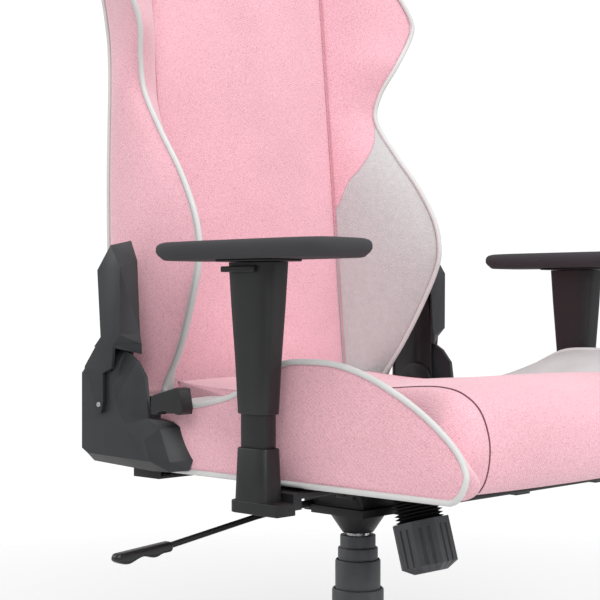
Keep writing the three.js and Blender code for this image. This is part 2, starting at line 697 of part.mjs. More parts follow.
function shellRing(share, wall) {
  const z = backZ(share);
  const outer = outlineHalf(share) - wall;
  const front = wall > 0 ? BACK.thick - 10 : BACK.thick + GAP;
  const depth = BACK.thick + BACK.shellDepth - wall;
  const half = [
    [outer - 21, front], [outer - 21, BACK.thick + 3], [outer - 38, depth - 20],
    [outer - 72, depth - 6],
  ];
  const right = half.map(([x, y]) => [x, panelY(z) + y, z]);
  const left = half.map(([x, y]) => [-x, panelY(z) + y, z]).reverse();
  return [...right, ...left];
}

function backShell() {
  const shares = OUTLINE.map((row) => row[0]);
  const outer = loft(shares.map((share) => shellRing(share, 0)));
  const floor = BACK.shellWall / BACK.height;
  const inside = [floor, ...shares.filter((share) => share > floor && share < 0.99)];
  const inner = loft(inside.map((share) => shellRing(share, BACK.shellWall)));
  const cuts = [slotHole(-1, SLOT.trim + GAP), slotHole(1, SLOT.trim + GAP)];
  return piece('back_shell', cutBy(outer, inner, ...cuts), FINISH.fabric);
}

function backFrame() {
  const t = BACK.tube;
  const [y0, y1] = [BACK.tubeY, BACK.tubeY + t];
  const shoulder = backZ(0.66);
  const low = backZ(0.02);
  const head = backZ(0.9);
  const cross = BACK_HALF - 56;
  let solid = joined(
    leaningBox(-cross, cross, y0, y0 + 8, 541, 569),
    leaningBox(-148, 148, y0, y1, shoulder, shoulder + t),
    leaningBox(-148, 148, y0, y1, backZ(0.35), backZ(0.35) + t),
    leaningBox(-46, 46, y0, y1, head, head + t),
  );
  for (const side of [-1, 1]) {
    const outer = side > 0 ? [148 - t, 148] : [-148, t - 148];
    const inner = side > 0 ? [46 - t, 46] : [-46, t - 46];
    solid = joined(
      solid, leaningBox(...outer, y0, y1, low, shoulder + t),
      leaningBox(...inner, y0, y1, shoulder, head + t), ...frameEars(side, 0),
    );
  }
  return piece('back_frame', solid, FINISH.steel);
}

// ---- recline hinges ----------------------------------------------------------------
const sideX = (side, out) => side * (SEAT.half + out);

// Facets of the lower cover as [y, z] rows: its inner rim, its thick rim and its flat face.
const LOWER_RIM = [
  [19, 407], [12, 419], [30, 455], [40, 459], [66, 463], ...arc(HINGE.discRadius, 150, 50, 5),
  [177, 514], [177, 421], [163, 409], [60, 405],
];
const LOWER_SHOULDER = [[30, 406], [30, 417], [47, 453], [56, 457], ...LOWER_RIM.slice(4)];
const LOWER_FACE = [
  [51, 417], [52, 419], [61, 440], [80, 449], [94, 456], [104, 467], [111, 481], [115, 497],
  [119, 512], [130, 527], [152, 527], [173, 511], [173, 424], [163, 419], [70, 417],
];
const LOWER_HOLLOW = [
  [36, 410], [36, 419], [50, 450], [60, 454], [69.5, 460],
  ...arc(HINGE.discRadius - HINGE.wall, 150, 50, 5), [174, 511], [174, 423], [161, 412], [60, 408],
];
// The upper cover stands on the disc: its inner rim, its flat face and its hollow.
const onUpperFoot = (angle) => arc(HINGE.discRadius + 2.5, angle, angle, 1)[0];
const UPPER_RIM = [
  [96, 556], [101, 640], [112, 663], [141, 634], [136, 556],
  ...[73, 98, 121.8].map(onUpperFoot), [93, 545],
];
const UPPER_FACE = [
  [97.5, 556], [97, 632], [114, 657], [138, 629], [132, 553],
  ...[76, 95, 104].map(onUpperFoot), [109.5, 544],
];
const UPPER_HOLLOW = [
  [101, 558], [101, 632], [114, 652], [134.5, 628], [128.5, 554], [138, 546], [122, 546.5],
  [114, 545.5], [110, 548],
];
const UPPER_TONGUE = [
  [97.5, 556], [109.5, 544], [112.4, 518], [128, 512], [128, 480], [131.6, 466], [142.7, 466],
  [150, 490], [156, 509], [163, 509], [161, 519.4], [132, 553],
];

// A solid between outlines of [y, z] rows that stand at different distances from the seat.
function facetedPlate(side, levels) {
  return loft(levels.map(([out, rows]) => rows.map(([y, z]) => [sideX(side, out), y, z])));
}

function hingeCoverLower(side) {
  const { inner, outer, rimTop, hollowTop, rimStart, lowerPlate, plateThick } = HINGE;
  const shell = cutBy(
    facetedPlate(side, [[inner, LOWER_RIM], [rimTop, LOWER_SHOULDER], [outer, LOWER_FACE]]),
    sidePlate(LOWER_HOLLOW, sideX(side, inner - 5), sideX(side, hollowTop)),
    box(sideX(side, inner - 5), sideX(side, rimStart), 58, 230, 470, 600),
    box(
      sideX(side, inner - 5), sideX(side, lowerPlate + plateThick + GAP),
      HINGE.footRear - GAP, HINGE.footFront + GAP, 380, 416,
    ),
  );
  return piece(`hinge_cover_lower_${sideName(side)}`, shell, FINISH.plastic);
}

function hingeCoverUpper(side) {
  const { upperInner, outer, wall, tongueGap, tongueThick, rimStart } = HINGE;
  const out = outer + tongueGap + tongueThick;
  const plateRoom = [[100.5, 575], [100.5, 500], [160, 500], [160, 575]];
  const shell = cutBy(
    facetedPlate(side, [[upperInner, UPPER_RIM], [out, UPPER_FACE]]),
    sidePlate(UPPER_HOLLOW, sideX(side, upperInner - 1), sideX(side, out - wall)),
    sidePlate(plateRoom, sideX(side, upperInner - 1), sideX(side, rimStart)),
  );
  const tongue = sidePlate(UPPER_TONGUE, sideX(side, outer + tongueGap), sideX(side, out));
  return piece(`hinge_cover_upper_${sideName(side)}`, joined(shell, tongue), FINISH.plastic);
}

function hingePlates(side) {
  const { plateThick, plateHub, lowerPlate, upperPlate, footRear, footFront } = HINGE;
  const bore = rod(
    'x', -400, 400, PIVOT.shaftRadius + BORE_GAP, [0, PIVOT.y, PIVOT.z], 20,
  );
  const pan = SEAT.bottom - SEAT.panThick - 2 * GAP;
  const lower = joined(
    sidePlate(
      [
        [42, 412], [150, 414], [158, 450], ...arc(plateHub, 0, 180, 8), [70, 455], [54, 446],
        [46, 430],
      ],
      sideX(side, lowerPlate), sideX(side, lowerPlate + plateThick),
    ),
    box(
      sideX(side, lowerPlate), sideX(side, lowerPlate + plateThick), footRear, footFront,
      pan - plateThick, 414,
    ),
    box(
      sideX(side, lowerPlate + plateThick), side * (SEAT.panHalf - 36), footRear, footFront,
      pan - plateThick, pan,
    ),
  );
  const upper = sidePlate(
    [
      ...arc(plateHub, 200, 340, 8), [150, 534], [154, 540], [154, 566], [128, 573], [124, 634],
      [112, 634], [103.5, 556], [102, 500],
    ],
    sideX(side, upperPlate), sideX(side, upperPlate + plateThick),
  );
  const name = sideName(side);
  return [
    piece(`recline_plate_lower_${name}`, cutBy(lower, bore), FINISH.steel),
    piece(`recline_plate_upper_${name}`, cutBy(upper, bore), FINISH.steel),
  ];
}

function reclineControl() {
  const { leverPlate, leverThick, hollowTop } = HINGE;
  const g = GRIP;
  const reach = SEAT.half + hollowTop - 1;
  const at = [0, PIVOT.y, PIVOT.z];
  const shaft = rod('x', -reach, reach, PIVOT.shaftRadius, at, 20);
  const [near, far] = [sideX(-1, leverPlate), sideX(-1, leverPlate + leverThick)];
  const hub = rod('x', near, far, 16, at, 24);
  const arm = box(near, far, g.root, PIVOT.y, 474, 486);
  const root = box(near, sideX(-1, g.inner + 1), g.root - 4, g.root + 8, 472, 489);
  const grip = sidePlate(
    [
      [g.root + 8, g.bottom], [g.root + 8, g.top - 2], [g.rear, g.top], [g.front + 5, g.frontTop],
      [g.front, 478], [g.front + 2, g.bottom + 2],
    ],
    sideX(-1, g.inner), sideX(-1, g.outer),
  );
  const bore = rod('x', -400, 400, PIVOT.shaftRadius + BORE_GAP, at, 20);
  return [
    piece('recline_shaft', shaft, FINISH.bright),
    piece('recline_lever', joined(cutBy(joined(hub, arm), bore), root, grip), FINISH.plastic),
  ];
}

// ---- armrests ----------------------------------------------------------------------
function armrest(side) {
  const group = new THREE.Group();
  group.position.set(side * ARM_X, ARM.y, 0);
  group.add(
    armBracket(side), armLower(side), armPost(side), armUpper(side), armTrigger(side),
    padPlate(side), armPad(side),
  );
  return group;
}

function armBracket(side) {
  const top = SEAT.bottom - SEAT.panThick - 2 * GAP;
  const inner = side * (ARM.bracketInner - ARM_X);
  const edge = side * -(ARM.lowBaseX / 2 + GAP);
  const solid = box(
    edge, inner, ARM.bracketFront, ARM.bracketRear, top - ARM.bracketThick, top,
  );
  const lip = box(
    edge, edge - side * 12, ARM.bracketFront, ARM.bracketRear, ARM.footBottom + 4, top - 1,
  );
  return piece(`arm_bracket_${sideName(side)}`, solid.add(lip), FINISH.steel);
}

function postHole(bottom, top) {
  const ring = (z) => roundedRing(ARM.postX / 2 + GAP, ARM.postY / 2 + GAP, 6 + GAP, z, 2);
  return loft([ring(bottom), ring(top)]);
}

function armLower(side) {
  const tube = loft([
    roundedRing(ARM.lowBaseX / 2, ARM.lowBaseY / 2, 9, ARM.footBottom + 1),
    roundedRing(ARM.lowBaseX / 2, ARM.lowBaseY / 2, 9, ARM.lowerBottom),
    roundedRing(ARM.lowTopX / 2, ARM.lowTopY / 2, 8, ARM.lowerTop),
  ]);
  const outer = side * (ARM.lowBaseX / 2 + 1);
  const foot = box(
    outer, side * -ARM.footInner, ARM.footFront, ARM.footRear, ARM.footBottom, ARM.lowerBottom,
  );
  const solid = cutBy(tube.add(foot), postHole(ARM.footBottom - 1, ARM.lowerTop + 1));
  return piece(`arm_lower_sleeve_${sideName(side)}`, solid, FINISH.plastic);
}

function armPost(side) {
  const ring = (z) => roundedRing(ARM.postX / 2, ARM.postY / 2, 6, z, 2);
  const solid = loft([ring(ARM.postBottom), ring(ARM.postTop)]);
  return piece(`arm_post_${sideName(side)}`, solid, FINISH.plastic);
}

function armUpper(side) {
  const tube = loft([
    roundedRing(ARM.upBaseX / 2, ARM.upBaseY / 2, 8, ARM.upperBottom),
    roundedRing(ARM.upTopX / 2, ARM.upTopY / 2, 11, ARM.upperTop),
  ]);
  const recess = box(
    side * (ARM.upTopX / 2 - TRIGGER.recess - GAP), side * 60, TRIGGER.front - GAP,
    TRIGGER.rear + GAP, TRIGGER.z - GAP, ARM.upperTop + 1,
  );
  const solid = cutBy(tube, postHole(ARM.upperBottom - 1, ARM.postTop + GAP), recess);
  return piece(`arm_upper_sleeve_${sideName(side)}`, solid, FINISH.plastic);
}

function armTrigger(side) {
  const inner = ARM.upTopX / 2 - TRIGGER.recess;
  const solid = box(
    side * inner, side * (inner + TRIGGER.depth), TRIGGER.front, TRIGGER.rear,
    TRIGGER.z, TRIGGER.z + TRIGGER.height,
  );
  return piece(`arm_trigger_${sideName(side)}`, solid, FINISH.plastic);
}

function padPlate(side) {
  const ring = (z) => roundedRing(PAD.plateX / 2, PAD.plateY / 2, 10, z);
  const solid = loft([ring(ARM.upperTop + 2 * GAP), ring(PAD.bottom - GAP)]);
  return piece(`pad_plate_${sideName(side)}`, solid, FINISH.plastic);
}

function armPad(side) {
  const top = PAD.bottom + PAD.thick;
  const ring = (inset, z) =>
    roundedRing(PAD.width / 2 - inset, PAD.length / 2 - inset, PAD.corner - inset, z, 4);
  const solid = loft([
    ring(PAD.under, PAD.bottom), ring(0, PAD.bottom + 8), ring(0, top - PAD.crown),
    ring(PAD.crown, top - 1), ring(PAD.crown * 3, top),
  ]).translate([0, -PAD.forward, 0]);
  return piece(`arm_pad_${sideName(side)}`, solid, FINISH.rubber);
}

// ---- the chair ---------------------------------------------------------------------
const chair = new THREE.Group();
chair.add(baseStar());
for (let k = 0; k < LEG_COUNT; k += 1) chair.add(caster(k));
chair.add(...gasLift(), mechanismHousing(), mechanismPlate(), tiltPin(), tensionGroup());
chair.add(...heightLever(), seatPan(), seatCushion());
chair.add(backFrame(), backCushion(), backShell(), ...reclineControl());
for (const side of [-1, 1]) {
  chair.add(seatBolster(side), backWing(side), beltTrim(side));
  chair.add(hingeCoverLower(side), hingeCoverUpper(side), ...hingePlates(side));
  chair.add(armrest(side));
}

export default chair;
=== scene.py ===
"""A racing-style gaming chair in woven fabric and leather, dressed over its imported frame."""
import json
import logging
import math
from dataclasses import dataclass, field
from enum import Enum
from typing import Callable, Iterable, Optional, Sequence

import bmesh
import bpy
from mathutils import Matrix, Vector

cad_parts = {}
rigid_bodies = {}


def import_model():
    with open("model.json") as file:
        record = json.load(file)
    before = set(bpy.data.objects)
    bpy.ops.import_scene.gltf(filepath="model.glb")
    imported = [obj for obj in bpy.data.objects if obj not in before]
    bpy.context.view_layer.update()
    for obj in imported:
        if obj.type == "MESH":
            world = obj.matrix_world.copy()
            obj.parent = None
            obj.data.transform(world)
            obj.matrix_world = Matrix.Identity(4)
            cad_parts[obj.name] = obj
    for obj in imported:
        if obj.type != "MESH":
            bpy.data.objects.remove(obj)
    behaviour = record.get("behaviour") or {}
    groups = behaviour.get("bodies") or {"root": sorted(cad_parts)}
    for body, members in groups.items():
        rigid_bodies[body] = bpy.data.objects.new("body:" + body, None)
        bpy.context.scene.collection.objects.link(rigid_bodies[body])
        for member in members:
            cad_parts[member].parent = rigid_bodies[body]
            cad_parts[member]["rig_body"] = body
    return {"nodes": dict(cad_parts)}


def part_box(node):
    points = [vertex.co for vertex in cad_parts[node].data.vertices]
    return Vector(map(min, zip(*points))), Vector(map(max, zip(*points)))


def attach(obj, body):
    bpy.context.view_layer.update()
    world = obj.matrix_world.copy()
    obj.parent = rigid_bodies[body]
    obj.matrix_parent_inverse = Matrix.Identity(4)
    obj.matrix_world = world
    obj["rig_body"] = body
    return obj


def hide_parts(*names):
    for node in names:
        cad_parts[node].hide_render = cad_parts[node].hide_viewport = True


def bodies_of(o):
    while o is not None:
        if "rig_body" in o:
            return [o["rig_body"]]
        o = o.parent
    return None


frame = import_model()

logging.basicConfig(level=logging.INFO, format="%(message)s")
LOG = logging.getLogger("chair")
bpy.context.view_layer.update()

MM = 0.001
Row = Sequence[float]
Place = Callable[[int, int], Vector]


class Side(Enum):
    """The sitter's right or left; the value is the sign of X."""

    RIGHT = -1
    LEFT = 1

    @property
    def word(self) -> str:
        """The side as it stands in the names of nodes."""
        return self.name.lower()

    def x(self, value: float) -> float:
        """The X of a place that lies value away from the middle on this side."""
        return self.value * value


class Body(Enum):
    """The moving bodies that pieces ride on."""

    BASE = "base"
    LIFT = "lift"
    MECHANISM = "mechanism"
    SEAT = "seat"
    BACK = "backrest"
    CONTROL = "recline_control"
    KNOB = "tension_knob"
    LEVER = "height_lever"


# ---- finishes ----------------------------------------------------------------------


class Tree:
    """A small helper that builds one material's nodes."""

    def __init__(self, name: str) -> None:
        """Starts a material with one Principled shader.

        Args:
            name: The material's name.
        """
        self.material = bpy.data.materials.new(name)
        self.material.use_nodes = True
        self.nodes = self.material.node_tree.nodes
        self.links = self.material.node_tree.links
        self.shader = self.nodes["Principled BSDF"]
        self.place = self.nodes.new("ShaderNodeTexCoord").outputs["Object"]

    def add(self, kind: str, inputs: Optional[dict] = None, **settings: object) -> bpy.types.Node:
        """Adds a node.

        Args:
            kind: The node's type.
            inputs: Socket names and the values or outputs that they take.
            settings: Properties of the node.

        Returns:
            The new node.
        """
        node = self.nodes.new(kind)
        for key, value in settings.items():
            setattr(node, key, value)
        for key, value in (inputs or {}).items():
            self.feed(node.inputs[key], value)
        return node

    def feed(self, socket: bpy.types.NodeSocket, value: object) -> None:
        """Links an output to a socket, or sets the socket's value."""
        if isinstance(value, bpy.types.NodeSocket):
            self.links.new(value, socket)
        else:
            socket.default_value = value

    def noise(self, scale: float, detail: float = 3.0, rough: float = 0.55) -> bpy.types.NodeSocket:
        """A noise pattern on Object coordinates, with scale in cells per metre."""
        node = self.add(
            "ShaderNodeTexNoise",
            {"Vector": self.place, "Scale": scale, "Detail": detail, "Roughness": rough},
        )
        return node.outputs["Fac"]

    def math(self, operation: str, a: object, b: object = 0.0) -> bpy.types.NodeSocket:
        """A math node with two inputs."""
        node = self.add("ShaderNodeMath", operation=operation)
        self.feed(node.inputs[0], a)
        self.feed(node.inputs[1], b)
        return node.outputs[0]

    def ramp(self, factor: object, stops: Sequence[tuple[float, tuple]]) -> bpy.types.NodeSocket:
        """A colour ramp.

        Args:
            factor: What drives the ramp.
            stops: Place and colour of each stop, in order.

        Returns:
            The ramp's colour.
        """
        node = self.add("ShaderNodeValToRGB", {"Fac": factor})
        elements = node.color_ramp.elements
        elements[0].position, elements[0].color = stops[0]
        elements[1].position, elements[1].color = stops[-1]
        for place, colour in stops[1:-1]:
            elements.new(place).color = colour
        return node.outputs["Color"]

    def mix(self, factor: object, a: object, b: object) -> bpy.types.NodeSocket:
        """Mixes two colours."""
        node = self.add("ShaderNodeMix", data_type="RGBA")
        self.feed(node.inputs[0], factor)
        self.feed(node.inputs[6], a)
        self.feed(node.inputs[7], b)
        return node.outputs[2]

    def bump(self, height: object, depth: float, strength: float = 1.0, under: object = None) -> object:
        """Puts a bump on top of another and returns the normal."""
        inputs = {"Height": height, "Distance": depth, "Strength": strength}
        if under is not None:
            inputs["Normal"] = under
        return self.add("ShaderNodeBump", inputs).outputs["Normal"]

    def finish(self, **sockets: object) -> bpy.types.Material:
        """Sets the shader's sockets, with spaces for underscores, and returns the material."""
        for key, value in sockets.items():
            self.feed(self.shader.inputs[key.replace("_", " ")], value)
        return self.material


def shade(colour: Sequence[float], factor: float) -> tuple[float, float, float, float]:
    """A colour made lighter or darker, with full alpha."""
    return (*(min(1.0, c * factor) for c in colour[:3]), 1.0)


@dataclass(frozen=True)
class Finish:
    """A material that several pieces share."""

    name: str
    slot: str
    colour: tuple[float, float, float]

    def material(self) -> bpy.types.Material:
        """The finish's material, built once."""
        return bpy.data.materials.get(self.name) or self.build(Tree(self.name))

    def build(self, tree: Tree) -> bpy.types.Material:
        """Builds the nodes; each kind of finish has its own."""
        raise NotImplementedError


@dataclass(frozen=True)
class WovenFabric(Finish):
    """Heathered woven upholstery: crossing threads, flecks and a soft sheen."""

    thread: float = 1.15 * MM
    leather: Optional[tuple[float, float, float]] = None

    def weave(self, tree: Tree) -> tuple[object, object]:
        """The weave's height and its flecks."""
        turned = tree.add(
            "ShaderNodeMapping", {"Vector": tree.place, "Rotation": (0.5, 0.35, 0.6)}
        ).outputs["Vector"]
        waves = []
        for direction in ("X", "Z"):
            node = tree.add(
                "ShaderNodeTexWave",
                {"Vector": turned, "Scale": 0.16 / self.thread, "Distortion": 1.6, "Detail": 2.0,
                 "Detail Scale": 2.5},
                bands_direction=direction,
            )
            waves.append(node.outputs["Fac"])
        return tree.math("MULTIPLY", *waves), tree.noise(0.62 / self.thread, 4.0, 0.7)

    def build(self, tree: Tree) -> bpy.types.Material:
        """Pink cloth, with a leather part where the attribute says so."""
        weave, fleck = self.weave(tree)
        flecked = tree.ramp(fleck, [
            (0.3, shade(self.colour, 0.62)), (0.45, shade(self.colour, 0.93)),
            (0.56, shade(self.colour, 1.03)), (0.72, shade(self.colour, 1.25)),
        ])
        broad = tree.ramp(tree.noise(9.0, 2.0), [(0.35, (0.93, 0.92, 0.92, 1)), (0.65, (1, 1, 1, 1))])
        toned = tree.add(
            "ShaderNodeMix", {6: flecked, 7: broad, 0: 1.0}, data_type="RGBA", blend_type="MULTIPLY"
        ).outputs[2]
        dark = tree.math("MULTIPLY", tree.math("SUBTRACT", 1.0, weave), 0.26)
        colour = tree.mix(dark, toned, shade(self.colour, 0.52))
        normal = tree.bump(weave, 0.35 * MM, 0.7, tree.bump(fleck, 0.3 * MM, 0.6))
        rough: object = 0.93
        if self.leather:
            seam = tree.add("ShaderNodeAttribute", attribute_name="leather").outputs["Fac"]
            inside = tree.add(
                "ShaderNodeMapRange", {"Value": seam, "From Min": -0.4 * MM, "From Max": 0.4 * MM}
            ).outputs["Result"]
            near = tree.math("ABSOLUTE", seam)
            line = tree.add(
                "ShaderNodeMapRange",
                {"Value": near, "From Min": 0.3 * MM, "From Max": 2.2 * MM, "To Min": 1.0, "To Max": 0.0},
            ).outputs["Result"]
            hide = tree.ramp(tree.noise(140.0, 4.0), [
                (0.3, shade(self.leather, 0.94)), (0.7, shade(self.leather, 1.04)),
            ])
            colour = tree.mix(inside, colour, hide)
            colour = tree.mix(tree.math("MULTIPLY", line, 0.35), colour, shade(self.colour, 0.4))
            rough = tree.math("SUBTRACT", 0.93, tree.math("MULTIPLY", inside, 0.4))
        return tree.finish(
            Base_Color=colour, Roughness=rough, Normal=normal, Sheen_Weight=0.4,
            Sheen_Roughness=0.5, Specular_IOR_Level=0.15,
        )


@dataclass(frozen=True)
class Leather(Finish):
    """Smooth synthetic leather with a fine pebble grain."""

    roughness: float = 0.5

    def build(self, tree: Tree) -> bpy.types.Material:
        """Pebble grain over a faint tone change."""
        grain = tree.add(
            "ShaderNodeTexVoronoi", {"Vector": tree.place, "Scale": 950.0}
        ).outputs["Distance"]
        soft = tree.noise(26.0, 3.0)
        colour = tree.ramp(soft, [(0.3, shade(self.colour, 0.95)), (0.7, shade(self.colour, 1.04))])
        normal = tree.bump(grain, 0.12 * MM, 0.5, tree.bump(soft, 0.5 * MM, 0.3))
        rough = tree.math("ADD", self.roughness - 0.06, tree.math("MULTIPLY", soft, 0.12))
        return tree.finish(
            Base_Color=colour, Roughness=rough, Normal=normal, Specular_IOR_Level=0.35
        )


@dataclass(frozen=True)
class Moulded(Finish):
    """Moulded plastic or rubber with a fine sparked grain."""

    roughness: float = 0.45
    grain: float = 0.08 * MM
    specular: float = 0.45

    def build(self, tree: Tree) -> bpy.types.Material:
        """Spark grain, faint handling marks and uneven gloss."""
        spark = tree.noise(1500.0, 2.0)
        handled = tree.noise(38.0, 4.0, 0.6)
        colour = tree.ramp(handled, [(0.3, shade(self.colour, 0.88)), (0.72, shade(self.colour, 1.14))])
        rough = tree.math("ADD", self.roughness - 0.08, tree.math("MULTIPLY", handled, 0.16))
        return tree.finish(
            Base_Color=colour, Roughness=rough, Normal=tree.bump(spark, self.grain, 0.55),
            Specular_IOR_Level=self.specular,
        )


@dataclass(frozen=True)
class Metal(Finish):
    """Bare or powder-coated steel."""

    roughness: float = 0.35
    metallic: float = 1.0

    def build(self, tree: Tree) -> bpy.types.Material:
        """Fine scratches drawn out along Z, over an orange-peel ripple."""
        drawn = tree.add(
            "ShaderNodeMapping", {"Vector": tree.place, "Scale": (1.0, 1.0, 0.08)}
        ).outputs["Vector"]
        scratch = tree.add(
            "ShaderNodeTexNoise", {"Vector": drawn, "Scale": 900.0, "Detail": 4.0}
        ).outputs["Fac"]
        peel = tree.noise(420.0, 1.0)
        rough = tree.math("ADD", self.roughness - 0.07, tree.math("MULTIPLY", scratch, 0.14))
        colour = tree.ramp(scratch, [(0.3, shade(self.colour, 0.9)), (0.7, shade(self.colour, 1.08))])
        return tree.finish(
            Base_Color=colour, Roughness=rough, Metallic=self.metallic,
            Normal=tree.bump(peel, 0.08 * MM, 0.4, tree.bump(scratch, 0.03 * MM, 0.5)),
        )


PINK = (0.91, 0.50, 0.575)
GREY = (0.53, 0.522, 0.525)
CLOTH = WovenFabric("woven_pink", "fabric_pink", PINK)
WING_CLOTH = WovenFabric("woven_pink_and_grey", "fabric_pink", PINK, leather=GREY)
HIDE = Leather("grey_leather", "fabric_pink", GREY)
PIPING = Leather("piping_leather", "fabric_pink", (0.62, 0.62, 0.615), 0.42)
THREAD = Moulded("dark_thread", "fabric_pink", (0.16, 0.07, 0.085), 0.9, 0.05 * MM, 0.1)
SEAM = Moulded("pink_seam", "fabric_pink", (0.64, 0.30, 0.36), 0.9, 0.05 * MM, 0.1)
PLASTIC = Moulded("dark_plastic", "plastic_dark", (0.013, 0.0135, 0.0145), 0.42, specular=0.38)
GRAPHITE = Moulded("graphite_plastic", "plastic_dark", (0.078, 0.080, 0.086), 0.46)
COVER = Moulded("hinge_plastic", "plastic_dark", (0.022, 0.0235, 0.026), 0.46)
GLOSS = Moulded("gloss_plastic", "plastic_gloss", (0.012, 0.012, 0.013), 0.28, 0.03 * MM)
PAD = Moulded("pad_rubber", "pad_rubber", (0.006, 0.006, 0.0065), 0.52, 0.14 * MM, 0.35)
RUBBER = Moulded("bellows_rubber", "rubber_black", (0.014, 0.014, 0.014), 0.6)
TREAD = Moulded("caster_tread", "caster_tread", (0.03, 0.03, 0.032), 0.4, 0.05 * MM)
STEEL = Metal("black_steel", "steel_black", (0.018, 0.018, 0.02), 0.42, 0.3)
BRIGHT = Metal("bright_steel", "steel_bright", (0.62, 0.62, 0.64), 0.28)


# ---- shared making -----------------------------------------------------------------


def smooth_reading(table: Sequence[Row], place: float, column: int) -> float:
    """A smooth curve through a table's points.

    Args:
        table: Rows that start with the place, in rising order.
        place: Where to read.
        column: The column to read.

    Returns:
        The value on a cubic curve through the rows.
    """
    last = len(table) - 1
    if place <= table[0][0]:
        return table[0][column]
    if place >= table[last][0]:
        return table[last][column]
    k = next(i for i in range(last) if table[i + 1][0] >= place)

    def slope(i: int) -> float:
        """The curve's slope at a row."""
        low, high = max(i - 1, 0), min(i + 1, last)
        return (table[high][column] - table[low][column]) / (table[high][0] - table[low][0])

    span = table[k + 1][0] - table[k][0]
    t = (place - table[k][0]) / span
    a, b = table[k][column], table[k + 1][column]
    return (
        (2 * t**3 - 3 * t**2 + 1) * a + (t**3 - 2 * t**2 + t) * span * slope(k)
        + (3 * t**2 - 2 * t**3) * b + (t**3 - t**2) * span * slope(k + 1)
    )


def bent(a: Vector, pull: Vector, b: Vector, t: float) -> Vector:
    """A point on the curve from a to b that is drawn towards pull."""
    return a * (1 - t) ** 2 + pull * (2 * t * (1 - t)) + b * t**2


def smoothstep(low: float, high: float, value: float) -> float:
    """0 below low, 1 above high, and smooth between."""
    t = min(max((value - low) / (high - low), 0.0), 1.0)
    return t * t * (3 - 2 * t)


def wrapped(
    around: int, along: int, place: Place, paint: Optional[Callable[[int, int], int]] = None,
    held: Optional[Callable[[int, int], bool]] = None,
) -> bmesh.types.BMesh:
    """A closed form made from a grid that is wrapped round, with its two ends filled.

    Args:
        around: Faces round the form.
        along: Faces along the form.
        place: Gives a grid point's place from its column and row.
        paint: Gives a face's material from its column and row.
        held: Says whether a grid point stays still while the form is puffed.

    Returns:
        The form as a bmesh, whose deform layer marks the held points.
    """
    bm = bmesh.new()
    bmesh.ops.create_grid(bm, x_segments=around, y_segments=along, size=0.5)
    pins = bm.verts.layers.deform.verify()
    for face in bm.faces:
        middle = face.calc_center_median()
        column = int((middle.x + 0.5) * around)
        row = int((middle.y + 0.5) * along)
        face.material_index = paint(column, row) if paint else 0
    for vert in bm.verts:
        column = round((vert.co.x + 0.5) * around)
        row = round((vert.co.y + 0.5) * along)
        if held is None or held(column, row):
            vert[pins][0] = 1.0
        vert.co = place(column, row)
    bmesh.ops.remove_doubles(bm, verts=bm.verts, dist=0.02 * MM)
    rims = [edge for edge in bm.edges if edge.is_boundary]
    bmesh.ops.holes_fill(bm, edges=rims, sides=0)
    bmesh.ops.recalc_face_normals(bm, faces=bm.faces)
    return bm


def finish_piece(
    name: str, bm: bmesh.types.BMesh, finishes: Sequence[Finish], body: str,
    stands_for: Iterable[str] = (), smooth: bool = True,
) -> bpy.types.Object:
    """Turns a bmesh into a named piece that rides on a body.

    Args:
        name: The piece's name.
        bm: The form; it is freed.
        finishes: The finishes, in the order of the faces' material numbers.
        body: The body that the piece rides on.
        stands_for: CAD nodes that the piece replaces.
        smooth: Whether its faces are shaded smooth.

    Returns:
        The new object.
    """
    mesh = bpy.data.meshes.new(name)
    bm.to_mesh(mesh)
    bm.free()
    for item in finishes:
        mesh.materials.append(item.material())
    if smooth:
        mesh.shade_smooth()
    else:
        mesh.shade_flat()
    piece = bpy.data.objects.new(name, mesh)
    bpy.context.scene.collection.objects.link(piece)
    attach(piece, body)
    for node in stands_for:
        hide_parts(node)
    LOG.info("made %s on %s", name, body)
    return piece


def puff(piece: bpy.types.Object, pressure: float, cap: float) -> None:
    """Fills a padded piece by a cloth simulation, with its held points kept still.

    Args:
        piece: The piece, whose deform layer marks the held points.
        pressure: The pressure inside.
        cap: The most that a point may move, in metres.
    """
    piece.vertex_groups.new(name="held")
    cloth = piece.modifiers.new("fill", "CLOTH")
    cloth.settings.use_pressure = True
    cloth.settings.uniform_pressure_force = pressure
    cloth.settings.effector_weights.gravity = 0.0
    cloth.settings.vertex_group_mass = "held"
    cloth.settings.quality = 4
    cloth.collision_settings.use_collision = False
    cloth.point_cache.frame_end = 20
    for step in range(1, 21):
        bpy.context.scene.frame_set(step)
    filled = piece.evaluated_get(bpy.context.evaluated_depsgraph_get())
    rest = [vert.co.copy() for vert in piece.data.vertices]
    moved = [vert.co.copy() for vert in filled.data.vertices]
    piece.modifiers.remove(cloth)
    for vert, start, end in zip(piece.data.vertices, rest, moved):
        step_out = end - start
        if step_out.length > cap:
            step_out *= cap / step_out.length
        vert.co = start + step_out
    bpy.context.scene.frame_set(1)


def subdivide(piece: bpy.types.Object, levels: int = 1) -> None:
    """Smooths a piece by subdivision, the same in view and render."""
    modifier = piece.modifiers.new("smooth", "SUBSURF")
    modifier.levels = levels
    modifier.render_levels = levels


